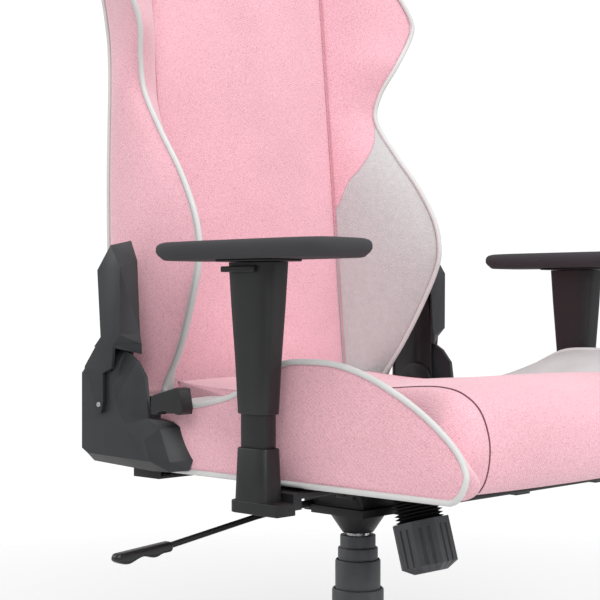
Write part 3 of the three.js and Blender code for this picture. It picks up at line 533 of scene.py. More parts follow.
def tube(
    name: str, points: Sequence[Vector], radius: float, finish: Finish, body: str,
    closed: bool = False, ring: int = 3,
) -> bpy.types.Object:
    """A round cord sewn or bent along a route, as a mesh.

    Args:
        name: The piece's name.
        points: The route.
        radius: The cord's radius.
        finish: Its finish.
        body: The body that it rides on.
        closed: Whether the route meets itself.
        ring: How round the cord is.

    Returns:
        The new object.
    """
    curve = bpy.data.curves.new(name, "CURVE")
    curve.dimensions = "3D"
    curve.bevel_depth = radius
    curve.bevel_resolution = ring
    curve.use_fill_caps = True
    spline = curve.splines.new("POLY")
    spline.points.add(len(points) - 1)
    for point, place in zip(spline.points, points):
        point.co = (*place, 1.0)
    spline.use_cyclic_u = closed
    carrier = bpy.data.objects.new(name + "_route", curve)
    bpy.context.scene.collection.objects.link(carrier)
    shape = bpy.data.meshes.new_from_object(carrier.evaluated_get(bpy.context.evaluated_depsgraph_get()))
    bpy.data.objects.remove(carrier)
    bm = bmesh.new()
    bm.from_mesh(shape)
    bpy.data.meshes.remove(shape)
    for face in bm.faces:
        face.material_index = 0
    bmesh.ops.remove_doubles(bm, verts=bm.verts, dist=0.01 * MM)
    bmesh.ops.recalc_face_normals(bm, faces=bm.faces)
    return finish_piece(name, bm, [finish], body)


def node_form(node: str) -> bmesh.types.BMesh:
    """A merged copy of a CAD node's mesh, with its flat faces joined."""
    bm = bmesh.new()
    bm.from_mesh(frame["nodes"][node].data)
    bmesh.ops.remove_doubles(bm, verts=bm.verts, dist=0.01 * MM)
    bmesh.ops.dissolve_limit(
        bm, angle_limit=math.radians(1.5), verts=bm.verts, edges=bm.edges,
        delimit={"NORMAL"},
    )
    bmesh.ops.recalc_face_normals(bm, faces=bm.faces)
    return bm


def cut_off(bm: bmesh.types.BMesh, at: Vector, away: Vector) -> None:
    """Cuts away what lies past a plane and closes the cut."""
    whole = bm.verts[:] + bm.edges[:] + bm.faces[:]
    bmesh.ops.bisect_plane(bm, geom=whole, plane_co=at, plane_no=away, clear_outer=True)
    bmesh.ops.holes_fill(bm, edges=[edge for edge in bm.edges if edge.is_boundary], sides=0)


def body_of(node: str) -> str:
    """The name of the body that a CAD node belongs to."""
    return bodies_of(frame["nodes"][node])[0]


def round_edges(
    piece: bpy.types.Object, width: float, segments: int = 2, least: float = 35.0, hard: bool = True,
) -> None:
    """Rounds a piece's sharp edges.

    Args:
        piece: The piece.
        width: The width of the rounded edges.
        segments: Faces across a rounded edge.
        least: The smallest angle, in degrees, that counts as an edge.
        hard: Whether the faces beside the edges stay flat in shading.
    """
    bevel = piece.modifiers.new("edges", "BEVEL")
    bevel.width = width
    bevel.segments = segments
    bevel.limit_method = "ANGLE"
    bevel.angle_limit = math.radians(least)
    bevel.harden_normals = hard


def refined(
    node: str, finish: Finish, edge: float, segments: int = 2, name: Optional[str] = None,
    form: Optional[bmesh.types.BMesh] = None, least: float = 28.0,
) -> bpy.types.Object:
    """A CAD node with rounded edges and its real finish.

    Args:
        node: The CAD node.
        finish: Its finish.
        edge: The width of the rounded edges.
        segments: Faces across a rounded edge.
        name: The piece's name, if it isn't made from the node's.
        form: A form to use instead of the node's own mesh.
        least: The smallest angle, in degrees, that counts as an edge.

    Returns:
        The new object, which replaces the node.
    """
    piece = finish_piece(
        name or f"{node}_moulding", form or node_form(node), [finish], body_of(node), [node]
    )
    round_edges(piece, edge, segments, least)
    return piece


def slab(
    name: str, rows: Sequence[Vector], middle: Vector, half: float, finish: Finish, body: str,
    edge: float, axis: Vector = Vector((1, 0, 0)),
) -> bpy.types.Object:
    """A plate with a drawn outline and rounded edges.

    Args:
        name: The piece's name.
        rows: The outline, in the plane across the axis.
        middle: Where the outline's origin lies.
        half: Half the plate's thickness along the axis.
        finish: Its finish.
        body: The body that it rides on.
        edge: The width of the rounded edges.
        axis: The direction of the plate's thickness.

    Returns:
        The new object.
    """
    bm = bmesh.new()
    face = bm.faces.new([bm.verts.new(middle + row - axis * half) for row in rows])
    raised = bmesh.ops.extrude_face_region(bm, geom=[face], use_keep_orig=True)["geom"]
    verts = [item for item in raised if isinstance(item, bmesh.types.BMVert)]
    bmesh.ops.translate(bm, vec=axis * (2 * half), verts=verts)
    bmesh.ops.recalc_face_normals(bm, faces=bm.faces)
    piece = finish_piece(name, bm, [finish], body)
    round_edges(piece, edge)
    return piece


def cut_holes(piece: bpy.types.Object, boxes: Sequence[tuple[Vector, Vector]]) -> None:
    """Applies a piece's modifiers and cuts boxes out of its mesh."""
    for low, high in boxes:
        bm = bmesh.new()
        bmesh.ops.create_cube(bm, size=1.0)
        bmesh.ops.scale(bm, vec=high - low, verts=bm.verts)
        bmesh.ops.translate(bm, vec=(low + high) / 2, verts=bm.verts)
        mesh = bpy.data.meshes.new("cutter")
        bm.to_mesh(mesh)
        bm.free()
        cutter = bpy.data.objects.new("cutter", mesh)
        bpy.context.scene.collection.objects.link(cutter)
        modifier = piece.modifiers.new("hole", "BOOLEAN")
        modifier.object = cutter
        modifier.operation = "DIFFERENCE"
        graph = bpy.context.evaluated_depsgraph_get()
        shape = bpy.data.meshes.new_from_object(piece.evaluated_get(graph))
        piece.modifiers.clear()
        piece.data = shape
        bpy.data.objects.remove(cutter)


# ---- backrest ----------------------------------------------------------------------


@dataclass
class Backrest:
    """The winged backrest: centre panel, two wings, rear cover, piping and belt slots."""

    bottom: float = 491 * MM
    height: float = 810 * MM
    lean: float = 0.0888
    foot_y: float = 160 * MM
    half: float = 238 * MM
    panel_half: float = 155 * MM
    thick: float = 30 * MM
    depth: float = 38 * MM
    gap: float = 1 * MM
    shell_inset: float = 17 * MM
    wing_top: float = 0.762
    piping: float = 3.2 * MM
    overhang: float = 6.5 * MM
    tail: float = 0.02
    outline: list[Row] = field(default_factory=lambda: [
        (0, 12), (0.06, 2), (0.14, 0), (0.22, 2), (0.332, 8), (0.44, 16), (0.511, 19),
        (0.56, 16), (0.6, 12), (0.64, 12), (0.68, 20), (0.72, 36), (0.75, 48), (0.77, 56),
        (0.8, 66), (0.86, 74), (0.93, 80), (0.975, 93), (0.993, 108), (1, 124),
    ])
    wing: list[Row] = field(default_factory=lambda: [
        (0, 43, 28), (0.055, 39, 64), (0.129, 31, 101), (0.185, 25, 123), (0.218, 23, 127),
        (0.259, 22, 121), (0.314, 24, 99), (0.376, 28, 64), (0.436, 31, 36), (0.48, 24, 41),
        (0.531, 8, 62), (0.58, -14, 71), (0.604, -18, 73), (0.647, -3, 66), (0.678, 16, 54),
        (0.721, 38, 34), (0.762, 56, 20),
    ])
    leather_top: list[Row] = field(default_factory=lambda: [
        (0, 719), (0.08, 734), (0.19, 755), (0.38, 771), (0.57, 787), (0.77, 806), (0.9, 822),
        (1, 843),
    ])

    def z(self, share: float) -> float:
        """The height of a share of the backrest."""
        return self.bottom + self.height * share

    def y(self, share: float) -> float:
        """Where the centre panel lies at a share of the height."""
        return self.foot_y + self.lean * self.height * share

    def outer(self, share: float) -> float:
        """Half the backrest's width at a share of its height."""
        return self.half - smooth_reading(self.outline, share, 1) * MM

    def edge(self, share: float) -> tuple[float, float]:
        """X and Y of the wing's front edge at a share of the height."""
        inset = smooth_reading(self.wing, share, 1) * MM
        return self.half - inset, self.y(share) - smooth_reading(self.wing, share, 2) * MM

    def build(self) -> None:
        """Builds every piece of the backrest."""
        self.centre_panel()
        self.rear_cover()
        for side in Side:
            self.build_wing(side)
            self.piping_cord(side)
            refined(f"belt_trim_{side.word}", PLASTIC, 1.6 * MM, 3)
            self.panel_seam(side)

    def build_wing(self, side: Side) -> None:
        """One wing: padded, pink outside, with the lower inside in grey leather."""
        spans = [16, 14, 4, 6, 4]
        starts = [sum(spans[:k]) for k in range(len(spans) + 1)]
        rows = 116
        low = -self.overhang / self.height
        shares = [low + (self.wing_top - low) * row / rows for row in range(rows + 1)]

        def corners(share: float) -> list[tuple[Vector, Vector]]:
            """The section's corner points and the point that each side is drawn towards."""
            y, outer = self.y(share), self.outer(share)
            edge_x, edge_y = self.edge(share)
            reach = y - edge_y
            crease = Vector((self.panel_half, y + 2 * MM))
            front = Vector((edge_x, edge_y))
            rear = Vector((outer, y - 4 * MM))
            back = Vector((outer - 21 * MM, y + self.thick))
            inner = Vector((self.panel_half, y + self.thick))
            width = edge_x - self.panel_half
            return [
                (crease, Vector((self.panel_half + 0.36 * width, y - 0.66 * reach))),
                (front, Vector((max(outer + 5 * MM, (outer + edge_x) / 2 + 7 * MM), y - 0.72 * reach))),
                (rear, Vector((outer - 2 * MM, y + 16 * MM))),
                (back, (back + inner) / 2),
                (inner, (inner + crease) / 2),
            ]

        def place(column: int, row: int) -> Vector:
            """A point of the wing's skin."""
            share = shares[row]
            points = corners(share)
            column %= starts[-1]
            k = next(i for i in range(len(spans)) if column < starts[i + 1])
            t = (column - starts[k]) / spans[k]
            flat = bent(points[k][0], points[k][1], points[(k + 1) % len(points)][0], t)
            hang = smoothstep(140 * MM, 157 * MM, flat.y) * (1 - smoothstep(low, low + 0.05, share))
            return Vector((side.x(flat.x), flat.y, self.z(share) - 12 * MM * hang))

        def held(column: int, row: int) -> bool:
            """Seams, the rear and the two ends stay still."""
            column %= starts[-1]
            return column in (0, starts[1]) or column >= starts[2] - 1 or row in (0, rows)

        bm = wrapped(starts[-1], rows, place, held=held)
        piece = finish_piece(
            f"wing_{side.word}", bm, [WING_CLOTH], Body.BACK.value, [f"back_wing_{side.word}"]
        )
        puff(piece, 3.0, 7 * MM)
        self.mark_leather(piece)
        subdivide(piece)

    def mark_leather(self, piece: bpy.types.Object) -> None:
        """Stores how far each point lies inside the leather, and sinks the seam round it."""
        mesh = piece.data
        layer = mesh.attributes.new("leather", "FLOAT", "POINT")
        normals = [vert.normal.copy() for vert in mesh.vertices]
        for vert, normal in zip(mesh.vertices, normals):
            share = (vert.co.z - self.bottom) / self.height
            edge_x, edge_y = self.edge(share)
            across = (self.y(share) - vert.co.y) / max(self.y(share) - edge_y, 1 * MM)
            across = min(max(across, 0.0), 1.0)
            line = edge_x * across + self.panel_half * (1 - across)
            inside = abs(vert.co.x) < line + 2 * MM and vert.co.y < self.y(share) + 8 * MM
            level = smooth_reading(self.leather_top, across, 1) * MM
            gap = (level - vert.co.z) * 0.85
            layer.data[vert.index].value = gap if inside else -50 * MM
            if inside and abs(gap) < 5 * MM:
                vert.co -= normal * 1.3 * MM * (1 - abs(gap) / (5 * MM))

    def piping_cord(self, side: Side) -> None:
        """The white piping along the wing's front edge."""
        steps = 130
        points = []
        for step in range(steps + 1):
            share = -0.006 + (self.wing_top + 0.004) * step / steps
            x, y = self.edge(share)
            points.append(Vector((side.x(x + 0.8 * MM), y - 1.4 * MM, self.z(share))))
        tube(f"wing_piping_{side.word}", points, self.piping, PIPING, Body.BACK.value)

    def panel_seam(self, side: Side) -> None:
        """The thread line where the centre panel meets the wing."""
        points = [
            Vector((side.x(self.panel_half - 0.2 * MM), self.y(s) + 1.0 * MM, self.z(s)))
            for s in (self.wing_top * k / 60 for k in range(61))
        ]
        tube(f"panel_seam_{side.word}", points, 0.6 * MM, SEAM, Body.BACK.value, ring=1)

    def panel_width(self, share: float) -> float:
        """Half the width of the centre panel, which widens into the head section."""
        head = self.outer(share) - 4 * MM
        return self.panel_half - 0.3 * MM + (head - self.panel_half) * smoothstep(
            self.wing_top, self.wing_top + 0.02, share
        )

    def slots(self, margin: float) -> list[tuple[Vector, Vector]]:
        """The boxes of the belt slots' holes, grown by a margin and right through."""
        boxes = []
        for side in Side:
            low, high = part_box(f"belt_trim_{side.word}")
            grow = Vector((margin, 60 * MM, margin))
            boxes.append((low - grow, high + grow))
        return boxes

    def centre_panel(self) -> None:
        """The long centre pad and the head section above it, as one padded form."""
        front, rear, flank, rows = 36, 8, 4, 124
        around = front + rear + 2 * flank

        def place(column: int, row: int) -> Vector:
            """A point of the pad's skin, going round from the front's right edge."""
            share = -self.tail + (1 + self.tail) * row / rows
            half = self.panel_width(share)
            y = self.y(share)
            head = smoothstep(self.wing_top - 0.03, self.wing_top + 0.05, share)
            column %= around
            if column <= front:
                t = column / front * 2 - 1
                crown = (4 + 10 * head) * MM * (1 - abs(t) ** 2.4)
                dip = 3 * MM * math.exp(-(((abs(t) - 0.98) / 0.05) ** 2))
                return Vector((half * t, y + 1.5 * MM - crown + dip, self.z(share)))
            if column <= front + flank:
                t = (column - front) / flank
                return Vector((half, y + self.thick * t, self.z(share)))
            if column <= front + flank + rear:
                t = (column - front - flank) / rear * 2 - 1
                return Vector((-half * t, y + self.thick, self.z(share)))
            t = (column - front - flank - rear) / flank
            return Vector((-half, y + self.thick * (1 - t), self.z(share)))

        def held(column: int, row: int) -> bool:
            """The edges, the flanks and the rear stay still."""
            return column % around in (0, front) or column % around > front or row in (0, rows)

        bm = wrapped(around, rows, place, held=held)
        piece = finish_piece("centre_panel", bm, [CLOTH], Body.BACK.value, ["back_cushion"])
        puff(piece, 2.0, 7 * MM)
        subdivide(piece)
        cut_holes(piece, self.slots(0.3 * MM))

    def rear_cover(self) -> None:
        """The covered rear shell, rounded off towards its edges."""
        spans, rows = 28, 96
        around = spans + 10
        joint = self.thick + self.gap

        def place(column: int, row: int) -> Vector:
            """A point of the shell: over the back, then returning along its front."""
            share = row / rows
            half, y = self.outer(share) - self.shell_inset, self.y(share)
            column %= around
            if column <= spans:
                t = column / spans * 2 - 1
                swell = max(0.0, 1 - abs(t) ** 3.2) ** 0.62
                return Vector((half * t, y + joint + (self.depth - self.gap) * swell, self.z(share)))
            t = (column - spans) / 10 * 2 - 1
            return Vector((-half * t, y + joint, self.z(share)))

        bm = wrapped(around, rows, place)
        piece = finish_piece("rear_cover", bm, [CLOTH], Body.BACK.value, ["back_shell", "back_frame"])
        subdivide(piece)
        cut_holes(piece, self.slots(0.3 * MM))
        points = []
        for step in range(121):
            share = 0.004 + 0.99 * step / 120
            x = self.outer(share) - self.shell_inset
            points.append(Vector((x, self.y(share) + joint, self.z(share))))
        mirrored = [Vector((-p.x, p.y, p.z)) for p in reversed(points)]
        tube("rear_piping", points + mirrored, 2.4 * MM, PIPING, Body.BACK.value, closed=True)


# ---- seat --------------------------------------------------------------------------


@dataclass
class Seat:
    """The bucket seat: centre cushion, two bolsters, piping and seams."""

    bottom: float = 405 * MM
    half: float = 255 * MM
    rear: float = 118 * MM
    crease_rear: float = 172 * MM
    crease_front: float = 226 * MM
    seam_front: float = 200 * MM
    piping: float = 3.2 * MM
    nose_end: float = -363 * MM
    pan_front: float = -318 * MM
    bolster: list[Row] = field(default_factory=lambda: [
        (-363, 434, 414), (-360, 442, 420), (-351, 455, 432), (-333, 471, 448), (-310, 487, 464),
        (-281, 503, 478), (-241, 520, 486), (-201, 530, 492), (-160, 532, 495), (-125, 529, 496),
        (-90, 514, 495), (-53, 494, 493), (-20, 485, 490), (7, 480, 489), (60, 476, 486),
        (121, 474, 474),
    ])
    nose: list[Row] = field(default_factory=lambda: [
        (404, -338), (407, -348), (413, -357), (422, -363), (430, -364.5), (434, -363),
    ])
    roll: list[tuple[float, float]] = field(default_factory=lambda: [
        (139, 498), (60, 492), (-20, 491), (-90, 496), (-180, 502), (-256, 508), (-290, 508.5),
        (-315, 504.5), (-333, 494), (-343, 480), (-349, 460), (-349, 442), (-345, 424),
        (-337, 411), (-326, 405.5),
    ])

    def front_share(self, y: float) -> float:
        """0 at the rear and 1 where the seat is widest in front."""
        return min(max((-180 * MM - y) / (140 * MM), 0.0), 1.0)

    def seam(self, y: float) -> float:
        """Half the width of the centre cushion's top panel at a place along the seat."""
        return self.crease_rear + (self.seam_front - self.crease_rear) * self.front_share(y)

    def crease(self, y: float) -> float:
        """Half the whole centre cushion's width at a place along the seat."""
        return self.crease_rear + (self.crease_front - self.crease_rear) * self.front_share(y)

    def build(self) -> None:
        """Builds every piece of the seat."""
        self.centre_cushion()
        for side in Side:
            self.build_bolster(side)
        pan = node_form("seat_pan")
        cut_off(pan, Vector((0, self.pan_front, 0)), Vector((0, -1, 0)))
        refined("seat_pan", STEEL, 0.8 * MM, form=pan)

    def profile(self, count: int) -> list[Vector]:
        """The centre cushion's upper outline from rear to front, evenly stepped."""
        table = [(k, y, z) for k, (y, z) in enumerate(self.roll)]
        fine = [
            Vector((0, smooth_reading(table, k / 20, 1), smooth_reading(table, k / 20, 2))) * MM
            for k in range(20 * (len(table) - 1) + 1)
        ]
        lengths = [0.0]
        for a, b in zip(fine, fine[1:]):
            lengths.append(lengths[-1] + (b - a).length)
        steps = []
        k = 0
        for step in range(count + 1):
            goal = lengths[-1] * step / count
            while k < len(fine) - 2 and lengths[k + 1] < goal:
                k += 1
            t = (goal - lengths[k]) / (lengths[k + 1] - lengths[k])
            steps.append(fine[k].lerp(fine[k + 1], t))
        return steps

    def centre_cushion(self) -> None:
        """The centre cushion with its rolled front and the seam along its sides."""
        top, under, behind, across, gusset = 96, 30, 6, 44, 7
        around = top + under + behind
        rows = across + 2 * gusset
        outline = self.profile(top)
        lip = Vector((0, 118 * MM, 489 * MM))
        sole = Vector((0, 116 * MM, self.bottom + 0.5 * MM))

        def section(column: int) -> Vector:
            """A point of the cushion's outline in its side plane."""
            column %= around
            if column <= top:
                return outline[column]
            if column <= top + under:
                return outline[-1].lerp(sole, (column - top) / under)
            return sole.lerp(lip, (column - top - under) / behind)

        def place(column: int, row: int) -> Vector:
            """A point of the skin: the swollen middle, or the gussets beside it."""
            point = section(column)
            shown = column % around <= top
            seam, crease = self.seam(point.y), self.crease(point.y) - 0.4 * MM
            if shown:
                nose = smoothstep(265 * MM, 335 * MM, -point.y)
                crease += 17 * MM * nose * smoothstep(408 * MM, 425 * MM, point.z)
            if gusset <= row <= gusset + across:
                s = (row - gusset) / across * 2 - 1
                swell = 1 - abs(s) ** 2.2
                front = smoothstep(250 * MM, 340 * MM, -point.y) if shown else 0.0
                low = smoothstep(430 * MM, 480 * MM, point.z)
                rise = 2 * MM * swell * low if shown else 0.0
                return Vector((s * seam, point.y - 13 * MM * swell * front, point.z + rise))
            t = (gusset - row) / gusset if row < gusset else (row - gusset - across) / gusset
            out = seam + (crease - seam) * math.sin(t * math.pi / 2)
            sink = 1.7 * (crease - seam) * (1 - math.cos(t * math.pi / 2)) if shown else 0.0
            down = sink * smoothstep(420 * MM, 490 * MM, point.z)
            back = 0.3 * sink * smoothstep(300 * MM, 345 * MM, -point.y)
            x = -out if row < gusset else out
            return Vector((x, point.y + back, max(point.z - down, self.bottom + 0.5 * MM)))

        def held(column: int, row: int) -> bool:
            """The seams, the gussets' edges, the underside and the rear stay still."""
            fixed = (0, gusset, gusset + across, rows)
            return row in fixed or column % around >= top or column % around == 0

        bm = wrapped(around, rows, place, held=held)
        piece = finish_piece("seat_centre", bm, [CLOTH], Body.SEAT.value, ["seat_cushion"])
        puff(piece, 2.5, 6 * MM)
        subdivide(piece)
        for side in Side:
            points = [Vector((side.x(self.seam(p.y) + 0.2 * MM), p.y, p.z)) for p in outline[18:]]
            tube(f"seat_seam_{side.word}", points, 0.9 * MM, THREAD, Body.SEAT.value, ring=2)

    def build_bolster(self, side: Side) -> None:
        """One bolster: pink outside, grey leather inside, piping along its upper edge."""
        spans = [14, 16, 6, 8]
        starts = [sum(spans[:k]) for k in range(len(spans) + 1)]
        rows = 96
        front, rear = self.nose_end, self.rear + 3 * MM

        def y_of(row: float) -> float:
            """The place along the seat, with closer rows at the front."""
            t = row / rows
            return front + (rear - front) * (0.35 * t * t + 0.65 * t)

        def corners(y: float) -> list[tuple[Vector, Vector]]:
            """The section's corners and the points that its sides are drawn towards."""
            top = smooth_reading(self.bolster, y / MM, 1) * MM
            inner = smooth_reading(self.bolster, y / MM, 2) * MM
            crease = self.crease(y) + 0.4 * MM
            nose = smoothstep(255 * MM, -front, -y)
            under = self.bottom + 0.5 * MM
            low = Vector((self.half - 2 * MM, under))
            high = Vector((self.half - 1 * MM, top))
            sill = Vector((crease, min(inner, top + 8 * MM)))
            heel = Vector((crease, under))
            bulge = (9 - 4 * nose) * MM
            lift = max(top - inner, 0.0)
            return [
                (low, Vector((self.half + bulge, (under + top) / 2))),
                (high, Vector((crease + 0.62 * (self.half - crease), top - 0.25 * lift + 5 * MM))),
                (sill, (sill + heel) / 2),
                (heel, (heel + low) / 2),
            ]

        def place(column: int, row: int) -> Vector:
            """A point of the bolster's skin."""
            y = y_of(row)
            points = corners(y)
            column %= starts[-1]
            k = next(i for i in range(len(spans)) if column < starts[i + 1])
            t = (column - starts[k]) / spans[k]
            flat = bent(points[k][0], points[k][1], points[(k + 1) % len(points)][0], t)
            near = 1 - smoothstep(0.0, 64 * MM, y - front)
            curl = (smooth_reading(self.nose, flat.y / MM, 1) - self.nose[-1][1]) * MM
            return Vector((side.x(flat.x), y + curl * near, flat.y))

        def held(column: int, row: int) -> bool:
            """The seams, the inner side, the underside and the ends stay still."""
            column %= starts[-1]
            return column in (0, starts[1]) or column >= starts[2] or row in (0, rows)

        def paint(column: int, row: int) -> int:
            """Leather on the inner slope behind the nose, cloth elsewhere."""
            return 1 if starts[1] <= column < starts[2] and row > 9 else 0

        bm = wrapped(starts[-1], rows, place, paint, held)
        piece = finish_piece(
            f"bolster_{side.word}", bm, [CLOTH, HIDE], Body.SEAT.value, [f"seat_bolster_{side.word}"]
        )
        puff(piece, 3.0, 5 * MM)
        subdivide(piece)
        edge = [place(starts[1], row) for row in range(rows + 1)]
        nose = [place(t, 0) for t in range(starts[1], -1, -1)]
        foot = [place(0, row) for row in range(0, rows + 1)]
        points = list(reversed(edge)) + nose + foot
        tube(f"seat_piping_{side.word}", points, self.piping, PIPING, Body.SEAT.value)


# ---- hard parts --------------------------------------------------------------------


@dataclass
class ReclineHinges:
    """The faceted covers, plates, screws and lever of the recline joint."""

    edge: float = 0.8 * MM
    grip_root: float = -276 * MM
    grip_middle: float = -282.3 * MM
    grip_half: float = 8.2 * MM
    screw: float = 3.4 * MM
    screw_at: tuple[float, float] = (135.5 * MM, 476 * MM)
    underside: list[tuple[float, float]] = field(default_factory=lambda: [
        (44, 470), (36, 469.6), (29, 473.2), (22, 474.4), (14, 472.4), (9, 473.6), (3, 471.6),
        (-3, 471.2), (-7, 474),
    ])
    topside: list[tuple[float, float]] = field(default_factory=lambda: [
        (-8.6, 479), (-2.5, 499.5), (2, 500.8), (40, 491.4), (44, 489),
    ])

    def build(self) -> None:
        """Builds both hinges and the lever."""
        for side in Side:
            refined(f"hinge_cover_lower_{side.word}", COVER, self.edge, least=7)
            refined(f"hinge_cover_upper_{side.word}", COVER, self.edge, least=7)
            refined(f"recline_plate_lower_{side.word}", STEEL, 0.6 * MM)
            refined(f"recline_plate_upper_{side.word}", STEEL, 0.6 * MM)
            self.screw_head(side)
        refined("recline_shaft", STEEL, 0.5 * MM)
        self.lever_root()
        self.grip_cover()

    def lever_root(self) -> None:
        """The lever's hub and arm, up to where the grip covers it."""
        bm = node_form("recline_lever")
        cut_off(bm, Vector((self.grip_root, 0, 0)), Vector((-1, 0, 0)))
        refined("recline_lever", PLASTIC, 0.5 * MM, form=bm)

    def screw_head(self, side: Side) -> None:
        """A bright screw low on the tongue of the upper cover."""
        low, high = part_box(f"hinge_cover_upper_{side.word}")
        face = high.x if side is Side.LEFT else low.x
        bm = bmesh.new()
        bmesh.ops.create_cone(
            bm, cap_ends=True, segments=20, radius1=self.screw, radius2=self.screw * 0.8,
            depth=1.6 * MM, matrix=Matrix.Rotation(math.pi / 2 * side.value, 4, "Y"),
        )
        bmesh.ops.translate(bm, vec=(face, *self.screw_at), verts=bm.verts)
        finish_piece(f"tongue_screw_{side.word}", bm, [BRIGHT], Body.BACK.value, smooth=False)

    def grip_cover(self) -> None:
        """The lever's moulded grip, with finger notches underneath."""
        rows = [Vector((0, y * MM, z * MM)) for y, z in self.underside + self.topside]
        slab(
            "lever_moulding", rows, Vector((self.grip_middle, 0, 0)), self.grip_half, PLASTIC,
            Body.CONTROL.value, 1.3 * MM,
        )


@dataclass
class Armrests:
    """Both armrests, with their pads, sleeves, posts, triggers and brackets."""

    x: float = 287 * MM
    y: float = -122 * MM
    bore: tuple[float, float, float] = (10.5, 19.5, 42)
    upper: list[Row] = field(default_factory=lambda: [
        (479, 12.5, 21.5), (480, 12.9, 21.9), (530, 14, 25), (590, 16.2, 29.8), (633.5, 17.6, 32.7),
    ])
    lower: list[Row] = field(default_factory=lambda: [
        (390.6, 14.6, 24.6), (443.2, 12.9, 22.2), (444.4, 12.4, 21.7),
    ])
    pad: list[Row] = field(default_factory=lambda: [
        (636.5, 40, 119), (637.2, 42.2, 121.2), (642, 46.8, 125.8), (645, 48.4, 127.4),
        (649, 48.5, 127.5), (652, 47.6, 126.6), (654.2, 45.2, 124.2), (655.5, 41, 120),
        (656, 34, 113),
    ])

    def build(self) -> None:
        """Builds each armrest."""
        for side in Side:
            word = side.word
            arm, seat = f"arm_{word}", Body.SEAT.value
            self.ringed(f"upper_sleeve_{word}", side, self.upper, 4.2, PLASTIC, arm, "arm_upper_sleeve")
            self.ringed(f"lower_sleeve_{word}", side, self.lower, 4.2, PLASTIC, seat, "arm_lower_sleeve")
            self.ringed(f"pad_top_{word}", side, self.pad, 5.0, PAD, f"pad_{word}", "arm_pad", 2.5 * MM)
            self.foot(side)
            refined(f"pad_plate_{word}", PLASTIC, 0.6 * MM)
            refined(f"arm_trigger_{word}", PLASTIC, 1.2 * MM)
            refined(f"arm_post_{word}", PLASTIC, 0.6 * MM)
            refined(f"arm_bracket_{word}", STEEL, 0.8 * MM)

    def ringed(
        self, name: str, side: Side, table: list[Row], squareness: float, finish: Finish,
        body: str, node: str, forward: float = 0.0,
    ) -> None:
        """A moulding whose level sections are rounded rectangles.

        Args:
            name: The piece's name.
            side: The side it stands on.
            table: Height and the two half widths, from the bottom up.
            squareness: How square the sections' corners are.
            finish: Its finish.
            body: The body it rides on.
            node: The CAD node it replaces, without its side.
            forward: How far in front of the post its middle lies.
        """
        around = 72

        def place(column: int, row: int) -> Vector:
            """A point of the moulding's skin."""
            angle = math.tau * column / around
            z, a, b = table[row]
            c, s = math.cos(angle), math.sin(angle)
            reach = (abs(c) ** squareness + abs(s) ** squareness) ** (-1 / squareness)
            x = side.x(self.x) + a * MM * reach * c
            return Vector((x, self.y - forward + b * MM * reach * s, z * MM))

        bm = wrapped(around, len(table) - 1, place)
        piece = finish_piece(name, bm, [finish], body, [f"{node}_{side.word}"])
        if node == "arm_lower_sleeve":
            cut_holes(piece, [self.post_room(side)])
        round_edges(piece, 0.6 * MM)

    def post_room(self, side: Side) -> tuple[Vector, Vector]:
        """The box that the post slides in, as its two corners."""
        middle = Vector((side.x(self.x), self.y, 410 * MM))
        half = Vector(self.bore) * MM
        return middle - half, middle + half

    def foot(self, side: Side) -> None:
        """The foot plate under the lower sleeve, rounded at its outer rear corner."""
        corners = [(-15, -42, 1, 180), (12, -42, 1.5, 270), (12, 30, 1.5, 0), (-15, 30, 10, 90)]
        rows = []
        for x, y, radius, start in corners:
            middle = Vector((x + (radius if x < 0 else -radius), y + (radius if y < 0 else -radius)))
            for k in range(7):
                angle = math.radians(start + 15 * k)
                spot = middle + radius * Vector((math.cos(angle), math.sin(angle)))
                rows.append(Vector((-side.value * spot.x * MM, spot.y * MM, 0)))
        piece = slab(
            f"arm_foot_{side.word}", rows, Vector((side.x(self.x), self.y, 384.4 * MM)), 6.3 * MM,
            PLASTIC, Body.SEAT.value, 1.0 * MM, Vector((0, 0, 1)),
        )
        cut_holes(piece, [self.post_room(side)])


